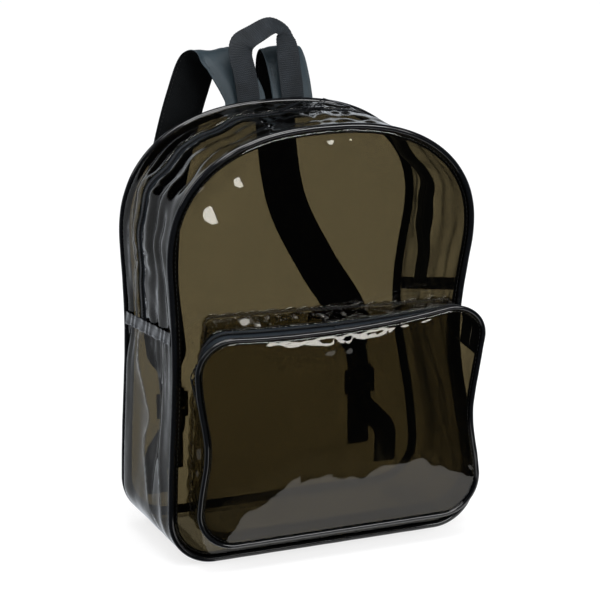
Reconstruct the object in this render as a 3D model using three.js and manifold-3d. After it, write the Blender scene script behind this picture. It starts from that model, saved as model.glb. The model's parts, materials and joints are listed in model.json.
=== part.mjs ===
// Clear stadium backpack: an arch-topped bag of see-through vinyl film with black piping along its
// front and back seams, a zipper over the arch, a zipped pocket on the front, a webbing haul loop
// and two padded shoulder straps.
//
// Millimetres, +Z up. The front faces -Y and +X is to the right of someone who looks at the front.
// The origin is on the flat underside, below the middle of the bag.
import * as THREE from 'three';
import { mergeVertices } from 'three/addons/utils/BufferGeometryUtils.js';
import Module from 'manifold-3d';

const wasm = await Module();
wasm.setup();

// What all pieces share
const clearance = 0.3;
const filmWall = 1;

// Main body
const bagWidth = 337;
const bagHeight = 430;
const bagDepth = 140;
const archHeight = 135;
const archPower = 2.4;
const cornerRadius = 46;
const waistHeight = 211;
const waistSpread = 103;
const waistLeft = 6.7;
const waistRight = 22.5;
const frontBulgeDepth = 7;
const bulgeHeight = 90;
const backBulgeDepth = 5;
const backMargin = 0.1;
const backRamp = 0.6;

// Piping of the main body
const pipingDiameter = 5.8;
const pipingFlangeWidth = 8;
const pipingFlangeWall = 1.1;

// Zipper over the arch
const zipperSetback = 18;
const tapeWidth = 13;
const tapeWall = 1;
const tapeLap = 4;
const coilWidth = 5.6;
const coilHeight = 1.8;
const coilSlit = 0.5;

// Seam across each side, where the zipper ends: its height at the front and at the back
const leftSeamFront = 232;
const leftSeamBack = 219;
const rightSeamFront = 256;
const rightSeamBack = 222;
const bindingWidth = 13;
const bindingWall = 1;

// Sliders and pulls
const sliderLength = 11;
const sliderWidth = 8.4;
const sliderPlate = 1.4;
const sliderNoseWidth = 5;
const bridgeLength = 7.5;
const bridgeHeight = 3.4;
const bridgeBar = 1.2;
const ringDiameter = 9.5;
const ringWire = 1.2;
const tabLength = 30;
const tabWidth = 5.5;
const tabRootWidth = 3.3;
const tabWall = 1.2;
const sliderOffset = 22;

// Front pocket
const pocketInset = 18;
const pocketLift = 25.6;
const pocketHeight = 217;
const pocketDepth = 38;
const pocketCorner = 40;
const pocketWaist = 9.4;
const pocketWaistHeight = 130;
const pocketWaistSpread = 45;
const pocketSagHeight = 11;
const pocketSwellRight = 4;
const pocketSwellHeight = 222;
const pocketSwellSpread = 26;
const pocketTiltHeight = -4.4;
const pocketBulgeDepth = 6;
const pocketPiping = 4.4;
const pocketFlangeWidth = 5;
const pocketFlangeWall = 0.9;
const pocketTape = 9;
const pocketCoil = 4.4;
const pocketZipEnd = 190;

// The pocket's seam on the front panel
const seamInsetLeft = 22;
const seamInsetRight = 12;
const seamCorner = 16;
const seamTiltHeight = 5;
const seamTopGap = 2;
const seamEdgeWidth = 5;
const seamEdgeWall = 1;

// Haul loop
const webbingWidth = 25;
const webbingWall = 1.6;
const loopSpacing = 48;
const loopHeight = 74;
const loopLeanDepth = 15;
const loopSkewWidth = 9;
const loopTilt = 32;

// Shoulder straps
const strapWidth = 44;
const strapPad = 5.4;
const strapEndWall = 2.4;
const strapSpacing = 52;
const strapRiseHeight = 46;
const strapReachDepth = 46;
const strapSplayWidth = 80;
const tailLapLength = 14;
const tailStepLength = 6;

// Strap adjusters. The lock hangs at a height over the bottom seam and stands off from the back.
const lockLiftHeight = 97.2;
const lockStandoffDepth = 15.6;
const lockWidth = 34;
const lockHeight = 27;
const lockThickness = 4;
const lockBar = 5;
const lockSlot = 4.4;
const lockRim = 3;
const freeTailLength = 62;
const anchorInsetWidth = 36;
const anchorHeight = 36;
const anchorLeadHeight = 22.4;
const lockLeadLength = 13;

// Worked out from the sizes above
const pipingRadius = pipingDiameter / 2;
const halfDepth = bagDepth / 2;
const halfWidth = bagWidth / 2 - pipingRadius;
const bottomLine = pipingRadius;
const topLine = bagHeight - pipingRadius;
const shoulderLine = topLine - archHeight;
const gussetEdge = halfDepth - pipingRadius - clearance;
const layer = filmWall / 2 + clearance;

// How many steps each stretch of an outline takes
const bagSteps = { bottom: 1.5, bottomCorner: 2, side: 2.5, arch: 10 };
const pocketSteps = { bottom: 1.5, bottomCorner: 2, side: 2, topCorner: 2, top: 3 };
const outlineStations = 46;

const smooth = (x) => THREE.MathUtils.smoothstep(x, 0, 1);

// A closed outline in a plane of constant Y: it starts at the bottom middle and runs left, up, over and down.
class SeamOutline extends THREE.Curve {
  constructor(stretches) {
    super();
    this.stretches = stretches;
    this.total = stretches.reduce((sum, stretch) => sum + stretch.steps, 0);
  }

  getPoint(t, target = new THREE.Vector3()) {
    let left = THREE.MathUtils.euclideanModulo(t, 1) * this.total;
    for (const stretch of this.stretches) {
      if (left <= stretch.steps) {
        return target.copy(stretch.at(left / stretch.steps));
      }
      left -= stretch.steps;
    }
    return target.copy(this.stretches[0].at(0));
  }

  // The unit vector from the outline into the bag.
  inward(t) {
    const step = 0.0015;
    const run = this.getPoint(t + step).sub(this.getPoint(t - step)).normalize();
    return new THREE.Vector3(run.z, 0, -run.x);
  }

  // Where on the left (side -1) or right (side 1) half the outline has this height.
  atHeight(side, height) {
    let low = side < 0 ? 0 : 1;
    let high = 0.5;
    for (let pass = 0; pass < 40; pass += 1) {
      const middle = (low + high) / 2;
      if (this.getPoint(middle).z < height) {
        low = middle;
      } else {
        high = middle;
      }
    }
    return (low + high) / 2;
  }
}

// Where on the top of an outline it has this x.
const topAt = (outline, x) => {
  let low = 0.3;
  let high = 0.7;
  for (let pass = 0; pass < 40; pass += 1) {
    const middle = (low + high) / 2;
    if (outline.getPoint(middle).x < x) {
      low = middle;
    } else {
      high = middle;
    }
  }
  return (low + high) / 2;
};

const straight = (steps, from, to) => ({
  steps,
  at: (f) => new THREE.Vector3().lerpVectors(from, to, f),
});

const arc = (steps, centre, radius, fromDegrees, toDegrees) => ({
  steps,
  at: (f) => {
    const angle = THREE.MathUtils.degToRad(THREE.MathUtils.lerp(fromDegrees, toDegrees, f));
    return new THREE.Vector3(centre.x + radius * Math.cos(angle), 0, centre.z + radius * Math.sin(angle));
  },
});

const shaped = (stretch, shape) => ({ steps: stretch.steps, at: (f) => shape(stretch.at(f)) });

const point = (x, z) => new THREE.Vector3(x, 0, z);

// The soft waist of the body: how far a side is drawn in at a height.
const bodyWaist = (side, height) => {
  const pull = side < 0 ? waistLeft : waistRight;
  return pull * Math.exp(-(((height - waistHeight) / waistSpread) ** 2));
};

function makeBagOutline() {
  const cornerX = halfWidth - cornerRadius;
  const cornerZ = bottomLine + cornerRadius;
  const arch = {
    steps: bagSteps.arch,
    at: (f) => {
      const cosine = -Math.cos(Math.PI * f);
      const sine = Math.sin(Math.PI * f);
      const x = halfWidth * Math.sign(cosine) * Math.abs(cosine) ** (2 / archPower);
      return point(x, shoulderLine + archHeight * Math.max(sine, 0) ** (2 / archPower));
    },
  };
  const drawn = (p) => point(p.x - Math.sign(p.x) * bodyWaist(Math.sign(p.x), p.z), p.z);
  return new SeamOutline([
    straight(bagSteps.bottom, point(0, bottomLine), point(-cornerX, bottomLine)),
    arc(bagSteps.bottomCorner, point(-cornerX, cornerZ), cornerRadius, 270, 180),
    straight(bagSteps.side, point(-halfWidth, cornerZ), point(-halfWidth, shoulderLine)),
    arch,
    straight(bagSteps.side, point(halfWidth, shoulderLine), point(halfWidth, cornerZ)),
    arc(bagSteps.bottomCorner, point(cornerX, cornerZ), cornerRadius, 0, -90),
    straight(bagSteps.bottom, point(cornerX, bottomLine), point(0, bottomLine)),
  ].map((stretch) => shaped(stretch, drawn)));
}

// A round-cornered outline for the pocket, with its own waist and a top edge that sags and tilts.
function makePocketOutline({ left, right, bottom, top, lowCorner, highCorner, waist, sag, tilt }) {
  const drawn = (p) => {
    const half = p.x < 0 ? left : right;
    const up = THREE.MathUtils.clamp((p.z - bottom) / (top - bottom), 0, 1);
    const share = p.x / half;
    return point(
      p.x - Math.sign(p.x) * waist(Math.sign(p.x), p.z),
      p.z - up * (sag * (1 - share * share) + tilt * share),
    );
  };
  return new SeamOutline([
    straight(pocketSteps.bottom, point(0, bottom), point(-left + lowCorner, bottom)),
    arc(pocketSteps.bottomCorner, point(-left + lowCorner, bottom + lowCorner), lowCorner, 270, 180),
    straight(pocketSteps.side, point(-left, bottom + lowCorner), point(-left, top - highCorner)),
    arc(pocketSteps.topCorner, point(-left + highCorner, top - highCorner), highCorner, 180, 90),
    straight(pocketSteps.top, point(-left + highCorner, top), point(right - highCorner, top)),
    arc(pocketSteps.topCorner, point(right - highCorner, top - highCorner), highCorner, 90, 0),
    straight(pocketSteps.side, point(right, top - highCorner), point(right, bottom + lowCorner)),
    arc(pocketSteps.bottomCorner, point(right - lowCorner, bottom + lowCorner), lowCorner, 0, -90),
    straight(pocketSteps.bottom, point(right - lowCorner, bottom), point(0, bottom)),
  ].map((stretch) => shaped(stretch, drawn)));
}

// Turns lists of vertices and triangles into a geometry whose faces point outwards.
function closedGeometry(vertices, triangles) {
  let volume = 0;
  const cross = new THREE.Vector3();
  for (const [a, b, c] of triangles) {
    volume += vertices[a].dot(cross.crossVectors(vertices[b], vertices[c]));
  }
  const wound = volume > 0 ? triangles : triangles.map(([a, b, c]) => [a, c, b]);
  const geometry = new THREE.BufferGeometry().setFromPoints(vertices);
  geometry.setIndex(wound.flat());
  geometry.computeVertexNormals();
  return geometry;
}

// A thin wall between two grids of points. The grids may close on themselves along their rows, and
// their last column may be one shared middle point.
function wallGeometry(faces, { closed = false, pole = false } = {}) {
  const rows = faces[0].length;
  const last = faces[0][0].length - 1;
  const vertices = [];
  const index = faces.map((grid) => {
    const middle = pole ? vertices.push(grid[0][last]) - 1 : 0;
    return grid.map((line) => line.map((p, j) => (
      pole && j === last ? middle : vertices.push(p) - 1
    )));
  });
  const triangles = [];
  const quad = (a, b, c, d) => {
    for (const triangle of [[a, b, c], [a, c, d]]) {
      if (new Set(triangle).size === 3) {
        triangles.push(triangle);
      }
    }
  };
  const [top, under] = index;
  const bands = closed ? rows : rows - 1;
  for (let i = 0; i < bands; i += 1) {
    const next = (i + 1) % rows;
    for (let j = 0; j < last; j += 1) {
      quad(top[i][j], top[next][j], top[next][j + 1], top[i][j + 1]);
      quad(under[i][j], under[i][j + 1], under[next][j + 1], under[next][j]);
    }
    quad(top[i][0], under[i][0], under[next][0], top[next][0]);
    if (!pole) {
      quad(top[i][last], top[next][last], under[next][last], under[i][last]);
    }
  }
  if (!closed) {
    for (let j = 0; j < last; j += 1) {
      quad(top[0][j], top[0][j + 1], under[0][j + 1], under[0][j]);
      quad(top[rows - 1][j], under[rows - 1][j], under[rows - 1][j + 1], top[rows - 1][j + 1]);
    }
  }
  return closedGeometry(vertices, triangles);
}

// Sweeps a section, given at each station as a ring of points, into a closed solid.
function sweptGeometry(rings, sectionShape, closed) {
  const count = rings[0].length;
  const vertices = rings.flat();
  const triangles = [];
  const bands = closed ? rings.length : rings.length - 1;
  for (let i = 0; i < bands; i += 1) {
    const here = i * count;
    const next = ((i + 1) % rings.length) * count;
    for (let k = 0; k < count; k += 1) {
      const l = (k + 1) % count;
      triangles.push([here + k, next + k, next + l], [here + k, next + l, here + l]);
    }
  }
  if (!closed) {
    const end = (rings.length - 1) * count;
    const turn = Math.sign(THREE.ShapeUtils.area(sectionShape));
    for (const cap of THREE.ShapeUtils.triangulateShape(sectionShape, [])) {
      const capTurn = Math.sign(THREE.ShapeUtils.area(cap.map((corner) => sectionShape[corner])));
      const [a, b, c] = capTurn === turn ? cap : [...cap].reverse();
      triangles.push([a, b, c], [end + a, end + c, end + b]);
    }
  }
  return closedGeometry(vertices, triangles);
}

// A flat strip of webbing or padding through a list of { centre, across, width, wall }.
function ribbonGeometry(sections, sectionShape) {
  const rings = sections.map((section, i) => {
    const before = sections[Math.max(i - 1, 0)].centre;
    const after = sections[Math.min(i + 1, sections.length - 1)].centre;
    const along = after.clone().sub(before).normalize();
    const across = section.across.clone().addScaledVector(along, -section.across.dot(along)).normalize();
    const up = along.clone().cross(across);
    return sectionShape.map((corner) => section.centre.clone()
      .addScaledVector(across, corner.x * section.width)
      .addScaledVector(up, corner.y * section.wall));
  });
  return sweptGeometry(rings, sectionShape, false);
}

const flatSection = [
  new THREE.Vector2(-0.5, -0.5),
  new THREE.Vector2(0.5, -0.5),
  new THREE.Vector2(0.5, 0.5),
  new THREE.Vector2(-0.5, 0.5),
];

const paddedSection = [
  new THREE.Vector2(-0.5, 0),
  new THREE.Vector2(-0.44, -0.38),
  new THREE.Vector2(0, -0.5),
  new THREE.Vector2(0.44, -0.38),
  new THREE.Vector2(0.5, 0),
  new THREE.Vector2(0.44, 0.38),
  new THREE.Vector2(0, 0.5),
  new THREE.Vector2(-0.44, 0.38),
];

// Joins closed geometries into one solid.
function join(geometries) {
  const solids = geometries.map((geometry) => {
    const bare = geometry.clone();
    bare.deleteAttribute('normal');
    bare.deleteAttribute('uv');
    const merged = mergeVertices(bare, 1e-4);
    return new wasm.Manifold(new wasm.Mesh({
      numProp: 3,
      vertProperties: new Float32Array(merged.attributes.position.array),
      triVerts: new Uint32Array(merged.index.array),
    }));
  });
  const mesh = solids.reduce((sum, solid) => sum.add(solid)).getMesh();
  const geometry = new THREE.BufferGeometry();
  geometry.setAttribute('position', new THREE.BufferAttribute(mesh.vertProperties, 3));
  geometry.setIndex(new THREE.BufferAttribute(mesh.triVerts, 1));
  geometry.computeVertexNormals();
  return geometry;
}

const clearFilm = { color: 0x8f8c82, roughness: 0.12, metalness: 0 };
const blackVinyl = { color: 0x0a0c0d, roughness: 0.2, metalness: 0 };
const zipperTape = { color: 0x14171b, roughness: 0.7, metalness: 0 };
const zipperCoil = { color: 0x0c0e10, roughness: 0.4, metalness: 0 };
const blackWebbing = { color: 0x101214, roughness: 0.85, metalness: 0 };
const strapCloth = { color: 0x32404a, roughness: 0.65, metalness: 0 };
const blackMetal = { color: 0x15171a, roughness: 0.3, metalness: 0.8 };
const blackPlastic = { color: 0x0d0e10, roughness: 0.45, metalness: 0 };

const backpack = new THREE.Group();

function addPiece(group, name, geometry, finish) {
  const piece = new THREE.Mesh(geometry, new THREE.MeshStandardMaterial(finish));
  piece.name = name;
  group.add(piece);
  return piece;
}

const bagOutline = makeBagOutline();
const pocketBottom = bottomLine + pocketLift;
const pocketTop = pocketBottom + pocketHeight;
const pocketHalf = bagWidth / 2 - pocketInset;
const pocketPlane = -halfDepth - pocketDepth;
const pocketRadius = pocketPiping / 2;

const pocketOutline = makePocketOutline({
  left: pocketHalf,
  right: pocketHalf,
  bottom: pocketBottom,
  top: pocketTop,
  lowCorner: pocketCorner,
  highCorner: pocketCorner,
  waist: (side, height) => {
    const pull = pocketWaist * Math.exp(-(((height - pocketWaistHeight) / pocketWaistSpread) ** 2));
    const swell = Math.exp(-(((height - pocketSwellHeight) / pocketSwellSpread) ** 2));
    return side > 0 ? pull - pocketSwellRight * swell : pull;
  },
  sag: pocketSagHeight,
  tilt: pocketTiltHeight,
});

const seamTop = pocketTop - seamTopGap;
const pocketSeamOutline = makePocketOutline({
  left: halfWidth - seamInsetLeft,
  right: halfWidth - seamInsetRight,
  bottom: pocketBottom,
  top: seamTop,
  lowCorner: pocketCorner,
  highCorner: seamCorner,
  waist: bodyWaist,
  sag: 0,
  tilt: -seamTiltHeight,
});

// The section of a piping: a round bead, with a flange that lies inside behind the panel's edge.
// The first number runs from the seam into the panel, the second from the panel into the bag.
function pipingSection(radius, flangeWidth, flangeWall) {
  const near = layer;
  const far = near + flangeWall;
  const start = Math.asin(far / radius);
  const end = 2 * Math.PI + Math.asin(near / radius);
  const beadSteps = 5;
  const section = [];
  for (let k = 0; k <= beadSteps; k += 1) {
    const angle = THREE.MathUtils.lerp(start, end, k / beadSteps);
    section.push(new THREE.Vector2(radius * Math.cos(angle), radius * Math.sin(angle)));
  }
  section.push(new THREE.Vector2(radius + flangeWidth, near));
  section.push(new THREE.Vector2(radius + flangeWidth, far));
  return section;
}

function pipingGeometry(outline, plane, into, section) {
  const rings = [];
  for (let i = 0; i < outlineStations; i += 1) {
    const t = i / outlineStations;
    const inward = outline.inward(t);
    const seam = outline.getPoint(t).setY(plane);
    rings.push(section.map((corner) => seam.clone()
      .addScaledVector(inward, corner.x)
      .add(new THREE.Vector3(0, into * corner.y, 0))));
  }
  return sweptGeometry(rings, section, true);
}

// A panel of film inside a piping. The rings shrink from its edge to its middle.
const panelRings = [1, 0.9, 0.72, 0.42, 0];

function panelGeometry(outline, edgeInset, middle, depthAt) {
  const faces = [-filmWall / 2, filmWall / 2].map((offset) => {
    const grid = [];
    for (let i = 0; i < outlineStations; i += 1) {
      const t = i / outlineStations;
      const edge = outline.getPoint(t).addScaledVector(outline.inward(t), edgeInset);
      grid.push(panelRings.map((share) => {
        const p = new THREE.Vector3().lerpVectors(middle, edge, share);
        return p.setY(depthAt(p, share) + offset);
      }));
    }
    return grid;
  });
  return wallGeometry(faces, { closed: true, pole: true });
}

// The front panel is held flat by the pocket's seam and swells above it.
const frontSurface = (p, share) => {
  const above = smooth((p.z - seamTop - seamTiltHeight) / bulgeHeight);
  return -halfDepth - frontBulgeDepth * above * (1 - share * share);
};

// The back panel stays flat along its edges, where the straps are sewn on.
const backSurface = (p, share) => halfDepth + backBulgeDepth * smooth((1 - backMargin - share) / backRamp);

const pocketSurface = (p, share) => pocketPlane - pocketBulgeDepth * (1 - share * share);

const body = new THREE.Group();
backpack.add(body);

const bagPiping = pipingSection(pipingRadius, pipingFlangeWidth, pipingFlangeWall);
const panelInset = pipingRadius + clearance;
const frontMiddle = point(0, seamTop + seamTiltHeight);
const backMiddle = point(0, (bottomLine + topLine) / 2);
addPiece(body, 'front_panel', panelGeometry(bagOutline, panelInset, frontMiddle, frontSurface), clearFilm);
addPiece(body, 'back_panel', panelGeometry(bagOutline, panelInset, backMiddle, backSurface), clearFilm);
addPiece(body, 'front_piping', pipingGeometry(bagOutline, -halfDepth, 1, bagPiping), blackVinyl);
addPiece(body, 'back_piping', pipingGeometry(bagOutline, halfDepth, -1, bagPiping), blackVinyl);

// The height of the side seam at a depth, on the left (side -1) or on the right (side 1).
function seamHeight(side, y) {
  const back = (y + halfDepth) / bagDepth;
  return side < 0
    ? THREE.MathUtils.lerp(leftSeamFront, leftSeamBack, back)
    : THREE.MathUtils.lerp(rightSeamFront, rightSeamBack, back);
}

// The two faces of a wall that lies at an inset from an outline.
const wallFaces = (gridAt, inset, wall) => [gridAt(inset - wall / 2), gridAt(inset + wall / 2)];

// A strip of the gusset over the arch, from one side seam to the other.
const archStations = 34;

function archStrip(columns, inset, endGap) {
  const grid = [];
  for (let i = 0; i <= archStations; i += 1) {
    grid.push(columns.map((y) => {
      const from = bagOutline.atHeight(-1, seamHeight(-1, y) + endGap);
      const to = bagOutline.atHeight(1, seamHeight(1, y) + endGap);
      const t = THREE.MathUtils.lerp(from, to, i / archStations);
      return bagOutline.getPoint(t).addScaledVector(bagOutline.inward(t), inset).setY(y);
    }));
  }
  return grid;
}

const zipFront = zipperSetback - coilSlit / 2;
const zipBack = zipperSetback + coilSlit / 2;
const filmFrontEdge = zipFront - tapeWidth + tapeLap;
const filmBackEdge = zipBack + tapeWidth - tapeLap;
const tapeInset = filmWall / 2 + clearance + tapeWall / 2;
const seamGap = clearance;
const span = (from, to, count) => Array.from({ length: count }, (unused, i) => (
  THREE.MathUtils.lerp(from, to, i / (count - 1))
));

function archWall(columns, middle, wall) {
  return wallGeometry(wallFaces((inset) => archStrip(columns, inset, seamGap), middle, wall));
}

const frontStrip = archWall(span(-gussetEdge, filmFrontEdge, 3), 0, filmWall);
const backStrip = archWall(span(filmBackEdge, gussetEdge, 3), 0, filmWall);
const frontTape = archWall([zipFront - tapeWidth, zipFront], tapeInset, tapeWall);
const backTape = archWall([zipBack, zipBack + tapeWidth], tapeInset, tapeWall);
addPiece(body, 'zip_gusset_front', frontStrip, clearFilm);
addPiece(body, 'zip_gusset_back', backStrip, clearFilm);
addPiece(body, 'main_zip_tape_front', frontTape, zipperTape);
addPiece(body, 'main_zip_tape_back', backTape, zipperTape);

// The closed coil: a low ridge over the two tapes' inner edges.
function coilSection(width, height) {
  return [
    new THREE.Vector2(-width / 2, 0),
    new THREE.Vector2(-width / 3, height * 0.8),
    new THREE.Vector2(0, height),
    new THREE.Vector2(width / 3, height * 0.8),
    new THREE.Vector2(width / 2, 0),
  ];
}

const coilFoot = tapeInset - tapeWall / 2 - clearance;
const coilTop = coilHeight - coilFoot;

function mainCoilGeometry() {
  const section = coilSection(coilWidth, coilHeight);
  const endGap = bindingWidth / 2 + clearance;
  const rings = archStrip([zipperSetback], coilFoot, endGap).map(([centre], i) => {
    const from = bagOutline.atHeight(-1, seamHeight(-1, zipperSetback) + endGap);
    const to = bagOutline.atHeight(1, seamHeight(1, zipperSetback) + endGap);
    const outward = bagOutline.inward(THREE.MathUtils.lerp(from, to, i / archStations)).negate();
    return section.map((corner) => centre.clone()
      .add(new THREE.Vector3(0, corner.x, 0))
      .addScaledVector(outward, corner.y));
  });
  return sweptGeometry(rings, section, false);
}
addPiece(body, 'main_zip_coil', mainCoilGeometry(), zipperCoil);

// Soft folds of the lower gusset. Each row: the side, the height as a share of the seam's height,
// the depth as a share of half the bag's depth, the fold's half length and half width as shares of
// the same two, and the push outwards as a share of the bag's depth.
const gussetFolds = [
  { side: -1, height: 0.72, depth: -0.25, length: 0.34, width: 0.34, push: -0.05 },
  { side: -1, height: 0.5, depth: 0.3, length: 0.4, width: 0.3, push: -0.03 },
  { side: -1, height: 0.34, depth: -0.5, length: 0.26, width: 0.3, push: 0.02 },
  { side: 1, height: 0.66, depth: 0.1, length: 0.36, width: 0.4, push: -0.045 },
  { side: 1, height: 0.36, depth: -0.3, length: 0.3, width: 0.36, push: 0.02 },
];

function foldPush(side, p, y) {
  const edge = 1 - (y / gussetEdge) ** 2;
  let push = 0;
  for (const fold of gussetFolds) {
    if (fold.side === side) {
      const up = (p.z / seamHeight(side, y) - fold.height) / fold.length;
      const across = (y / halfDepth - fold.depth) / fold.width;
      push += fold.push * bagDepth * Math.exp(-up * up - across * across);
    }
  }
  return push * edge;
}

// The lower gusset runs from one side seam down and under the bag to the other. Under the bag the
// film sags flat onto the ground between the two pipings.
const lowerStations = 34;
const lowerColumns = [-1, -0.82, -0.52, -0.2, 0.12, 0.44, 0.82, 1];

function lowerGussetGrid(inset) {
  const grid = [];
  for (let i = 0; i <= lowerStations; i += 1) {
    grid.push(lowerColumns.map((share) => {
      const y = share * gussetEdge;
      const from = bagOutline.atHeight(-1, seamHeight(-1, y) - seamGap);
      const to = bagOutline.atHeight(1, seamHeight(1, y) - seamGap) - 1;
      const t = THREE.MathUtils.lerp(from, to, i / lowerStations);
      const p = bagOutline.getPoint(t);
      const under = 1 - smooth((p.z - bottomLine) / cornerRadius);
      const sag = Math.abs(share) < 1 ? (pipingRadius - filmWall / 2) * under : 0;
      const push = foldPush(p.x < 0 ? -1 : 1, p, y) * (1 - under);
      return p.addScaledVector(bagOutline.inward(t), inset - push - sag).setY(y);
    }));
  }
  return grid;
}
const lowerGussetGeometry = () => wallGeometry(wallFaces(lowerGussetGrid, 0, filmWall));
addPiece(body, 'lower_gusset', lowerGussetGeometry(), clearFilm);

// A bound band over each side seam, on the outside of the film.
function bindingGeometry(side) {
  const gridAt = (inset) => span(-bindingWidth / 2, bindingWidth / 2, 3).map((up) => (
    span(-gussetEdge, gussetEdge, 9).map((y) => {
      const t = bagOutline.atHeight(side, seamHeight(side, y) + up);
      return bagOutline.getPoint(t).addScaledVector(bagOutline.inward(t), inset).setY(y);
    })
  ));
  return wallGeometry(wallFaces(gridAt, -layer - clearance - bindingWall / 2, bindingWall));
}
addPiece(body, 'side_binding_left', bindingGeometry(-1), blackVinyl);
addPiece(body, 'side_binding_right', bindingGeometry(1), blackVinyl);

// A zipper slider: a rounded plate with a bridge over it. It is made flat, with the zipper along X
// and its foot at Z = 0.
function sliderGeometry() {
  const plate = new THREE.Shape();
  const nose = sliderNoseWidth / 2;
  plate.moveTo(-sliderLength / 2, -nose);
  plate.lineTo(0, -sliderWidth / 2);
  plate.lineTo(sliderLength / 2, -sliderWidth / 2);
  plate.lineTo(sliderLength / 2, sliderWidth / 2);
  plate.lineTo(0, sliderWidth / 2);
  plate.lineTo(-sliderLength / 2, nose);
  plate.closePath();
  const plateSolid = new THREE.ExtrudeGeometry(plate, { depth: sliderPlate, bevelEnabled: false });
  const reach = bridgeLength / 2;
  const bridge = new THREE.Shape();
  bridge.moveTo(-reach - bridgeBar, 0);
  bridge.lineTo(-reach, sliderPlate + bridgeHeight);
  bridge.lineTo(reach, sliderPlate + bridgeHeight);
  bridge.lineTo(reach + bridgeBar, 0);
  const opening = new THREE.Path();
  opening.moveTo(-reach + bridgeBar / 2, sliderPlate / 2);
  opening.lineTo(reach - bridgeBar / 2, sliderPlate / 2);
  opening.lineTo(reach - bridgeBar, sliderPlate + bridgeHeight - bridgeBar);
  opening.lineTo(-reach + bridgeBar, sliderPlate + bridgeHeight - bridgeBar);
  bridge.holes.push(opening);
  const bridgeSolid = new THREE.ExtrudeGeometry(bridge, { depth: bridgeBar * 2, bevelEnabled: false });
  bridgeSolid.translate(0, 0, -bridgeBar);
  bridgeSolid.rotateX(Math.PI / 2);
  return join([plateSolid, bridgeSolid]);
}

const wireHeight = sliderPlate + clearance + ringWire / 2;

// A pull: a wire ring through the slider's bridge with a flat tab on it. The ring's plane holds Y
// and leans by ringLean from the film; the tab runs on along +X and drops to lie on the coil.
function pullGeometry(ringLean) {
  const wire = [];
  const sides = 5;
  const ringRadius = ringDiameter / 2;
  for (let k = 0; k <= sides; k += 1) {
    const angle = 2 * Math.PI * k / sides;
    wire.push(new THREE.Vector2(ringRadius + ringWire / 2 * Math.cos(angle), ringWire / 2 * Math.sin(angle)));
  }
  const ring = new THREE.LatheGeometry(wire, 12);
  ring.rotateX(Math.PI / 2);
  ring.translate(ringRadius, 0, 0);
  ring.rotateY(-ringLean);
  const end = tabWidth / 2;
  const tab = new THREE.Shape();
  tab.moveTo(-ringWire, -tabRootWidth / 2);
  tab.lineTo(tabLength - end, -end);
  tab.absarc(tabLength - end, 0, end, -Math.PI / 2, Math.PI / 2, false);
  tab.lineTo(-ringWire, tabRootWidth / 2);
  const tabSolid = new THREE.ExtrudeGeometry(tab, { depth: tabWall, bevelEnabled: false, curveSegments: 5 });
  tabSolid.translate(0, 0, -tabWall / 2);
  const farX = 2 * ringRadius * Math.cos(ringLean);
  const farZ = 2 * ringRadius * Math.sin(ringLean);
  tabSolid.rotateY(Math.asin((farZ + wireHeight - tabWall / 2) / tabLength));
  tabSolid.translate(farX, 0, farZ);
  return join([ring, tabSolid]);
}

// Places a piece made flat on the film: its X runs along the zipper, its Z points out of the bag.
function seat(piece, foot, outward, height, turn) {
  const along = new THREE.Vector3(0, 1, 0).cross(outward);
  const depth = outward.clone().cross(along);
  const frame = new THREE.Matrix4().makeBasis(along, depth, outward);
  piece.quaternion.setFromRotationMatrix(frame);
  piece.rotateZ(turn);
  piece.position.copy(foot).addScaledVector(outward, height);
}

const sliderFoot = coilTop + clearance;
const mainSliders = [
  { name: 'left', side: -1, facing: Math.PI, turn: Math.PI + 0.35, lean: 0.55 },
  { name: 'right', side: 1, facing: 0, turn: 0, lean: 0.75 },
];
for (const { name, side, facing, turn, lean } of mainSliders) {
  const t = topAt(bagOutline, sliderOffset + side * (sliderLength / 2 + clearance));
  const foot = bagOutline.getPoint(t).setY(zipperSetback);
  const outward = bagOutline.inward(t).negate();
  const slider = addPiece(body, `main_slider_${name}`, sliderGeometry(), blackMetal);
  seat(slider, foot, outward, sliderFoot, facing + Math.PI);
  const pull = addPiece(body, `main_pull_${name}`, pullGeometry(lean), blackMetal);
  seat(pull, foot, outward, sliderFoot + wireHeight, turn);
}

const pocket = new THREE.Group();
backpack.add(pocket);

const pocketPipingSection = pipingSection(pocketRadius, pocketFlangeWidth, pocketFlangeWall);
const pocketMiddle = point(0, (pocketBottom + pocketTop) / 2);
const pocketPanel = panelGeometry(pocketOutline, pocketRadius + clearance, pocketMiddle, pocketSurface);
const pocketBead = pipingGeometry(pocketOutline, pocketPlane, 1, pocketPipingSection);
addPiece(pocket, 'pocket_front', pocketPanel, clearFilm);
addPiece(pocket, 'pocket_piping', pocketBead, blackVinyl);

// The pocket's gusset spans from its seam on the front panel to its piping.
const pocketRear = -halfDepth - filmWall / 2 - clearance;
const pocketFrontEdge = pocketPlane + pocketRadius + clearance;
const pocketRun = pocketRear - pocketFrontEdge;

function pocketPoint(t, forward, inset) {
  const share = forward / pocketRun;
  const rear = pocketSeamOutline.getPoint(t).addScaledVector(pocketSeamOutline.inward(t), inset);
  const front = pocketOutline.getPoint(t).addScaledVector(pocketOutline.inward(t), inset);
  return rear.lerp(front, share).setY(pocketRear - forward);
}

function pocketWall(from, to, stations, columns, middle, wall) {
  const gridAt = (inset) => span(from, to, stations + 1).map((t) => (
    columns.map((forward) => pocketPoint(t, forward, inset))
  ));
  return wallGeometry(wallFaces(gridAt, middle, wall));
}

const pocketLeftEnd = pocketOutline.atHeight(-1, pocketZipEnd);
const pocketRightEnd = pocketOutline.atHeight(1, pocketZipEnd);
const pocketGap = clearance / 2 / pocketOutline.getLength();
const pocketZipLine = pocketRun - pocketTape - coilSlit / 2;
const pocketFilmEdge = pocketZipLine - coilSlit / 2 - pocketTape + tapeLap;

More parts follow.
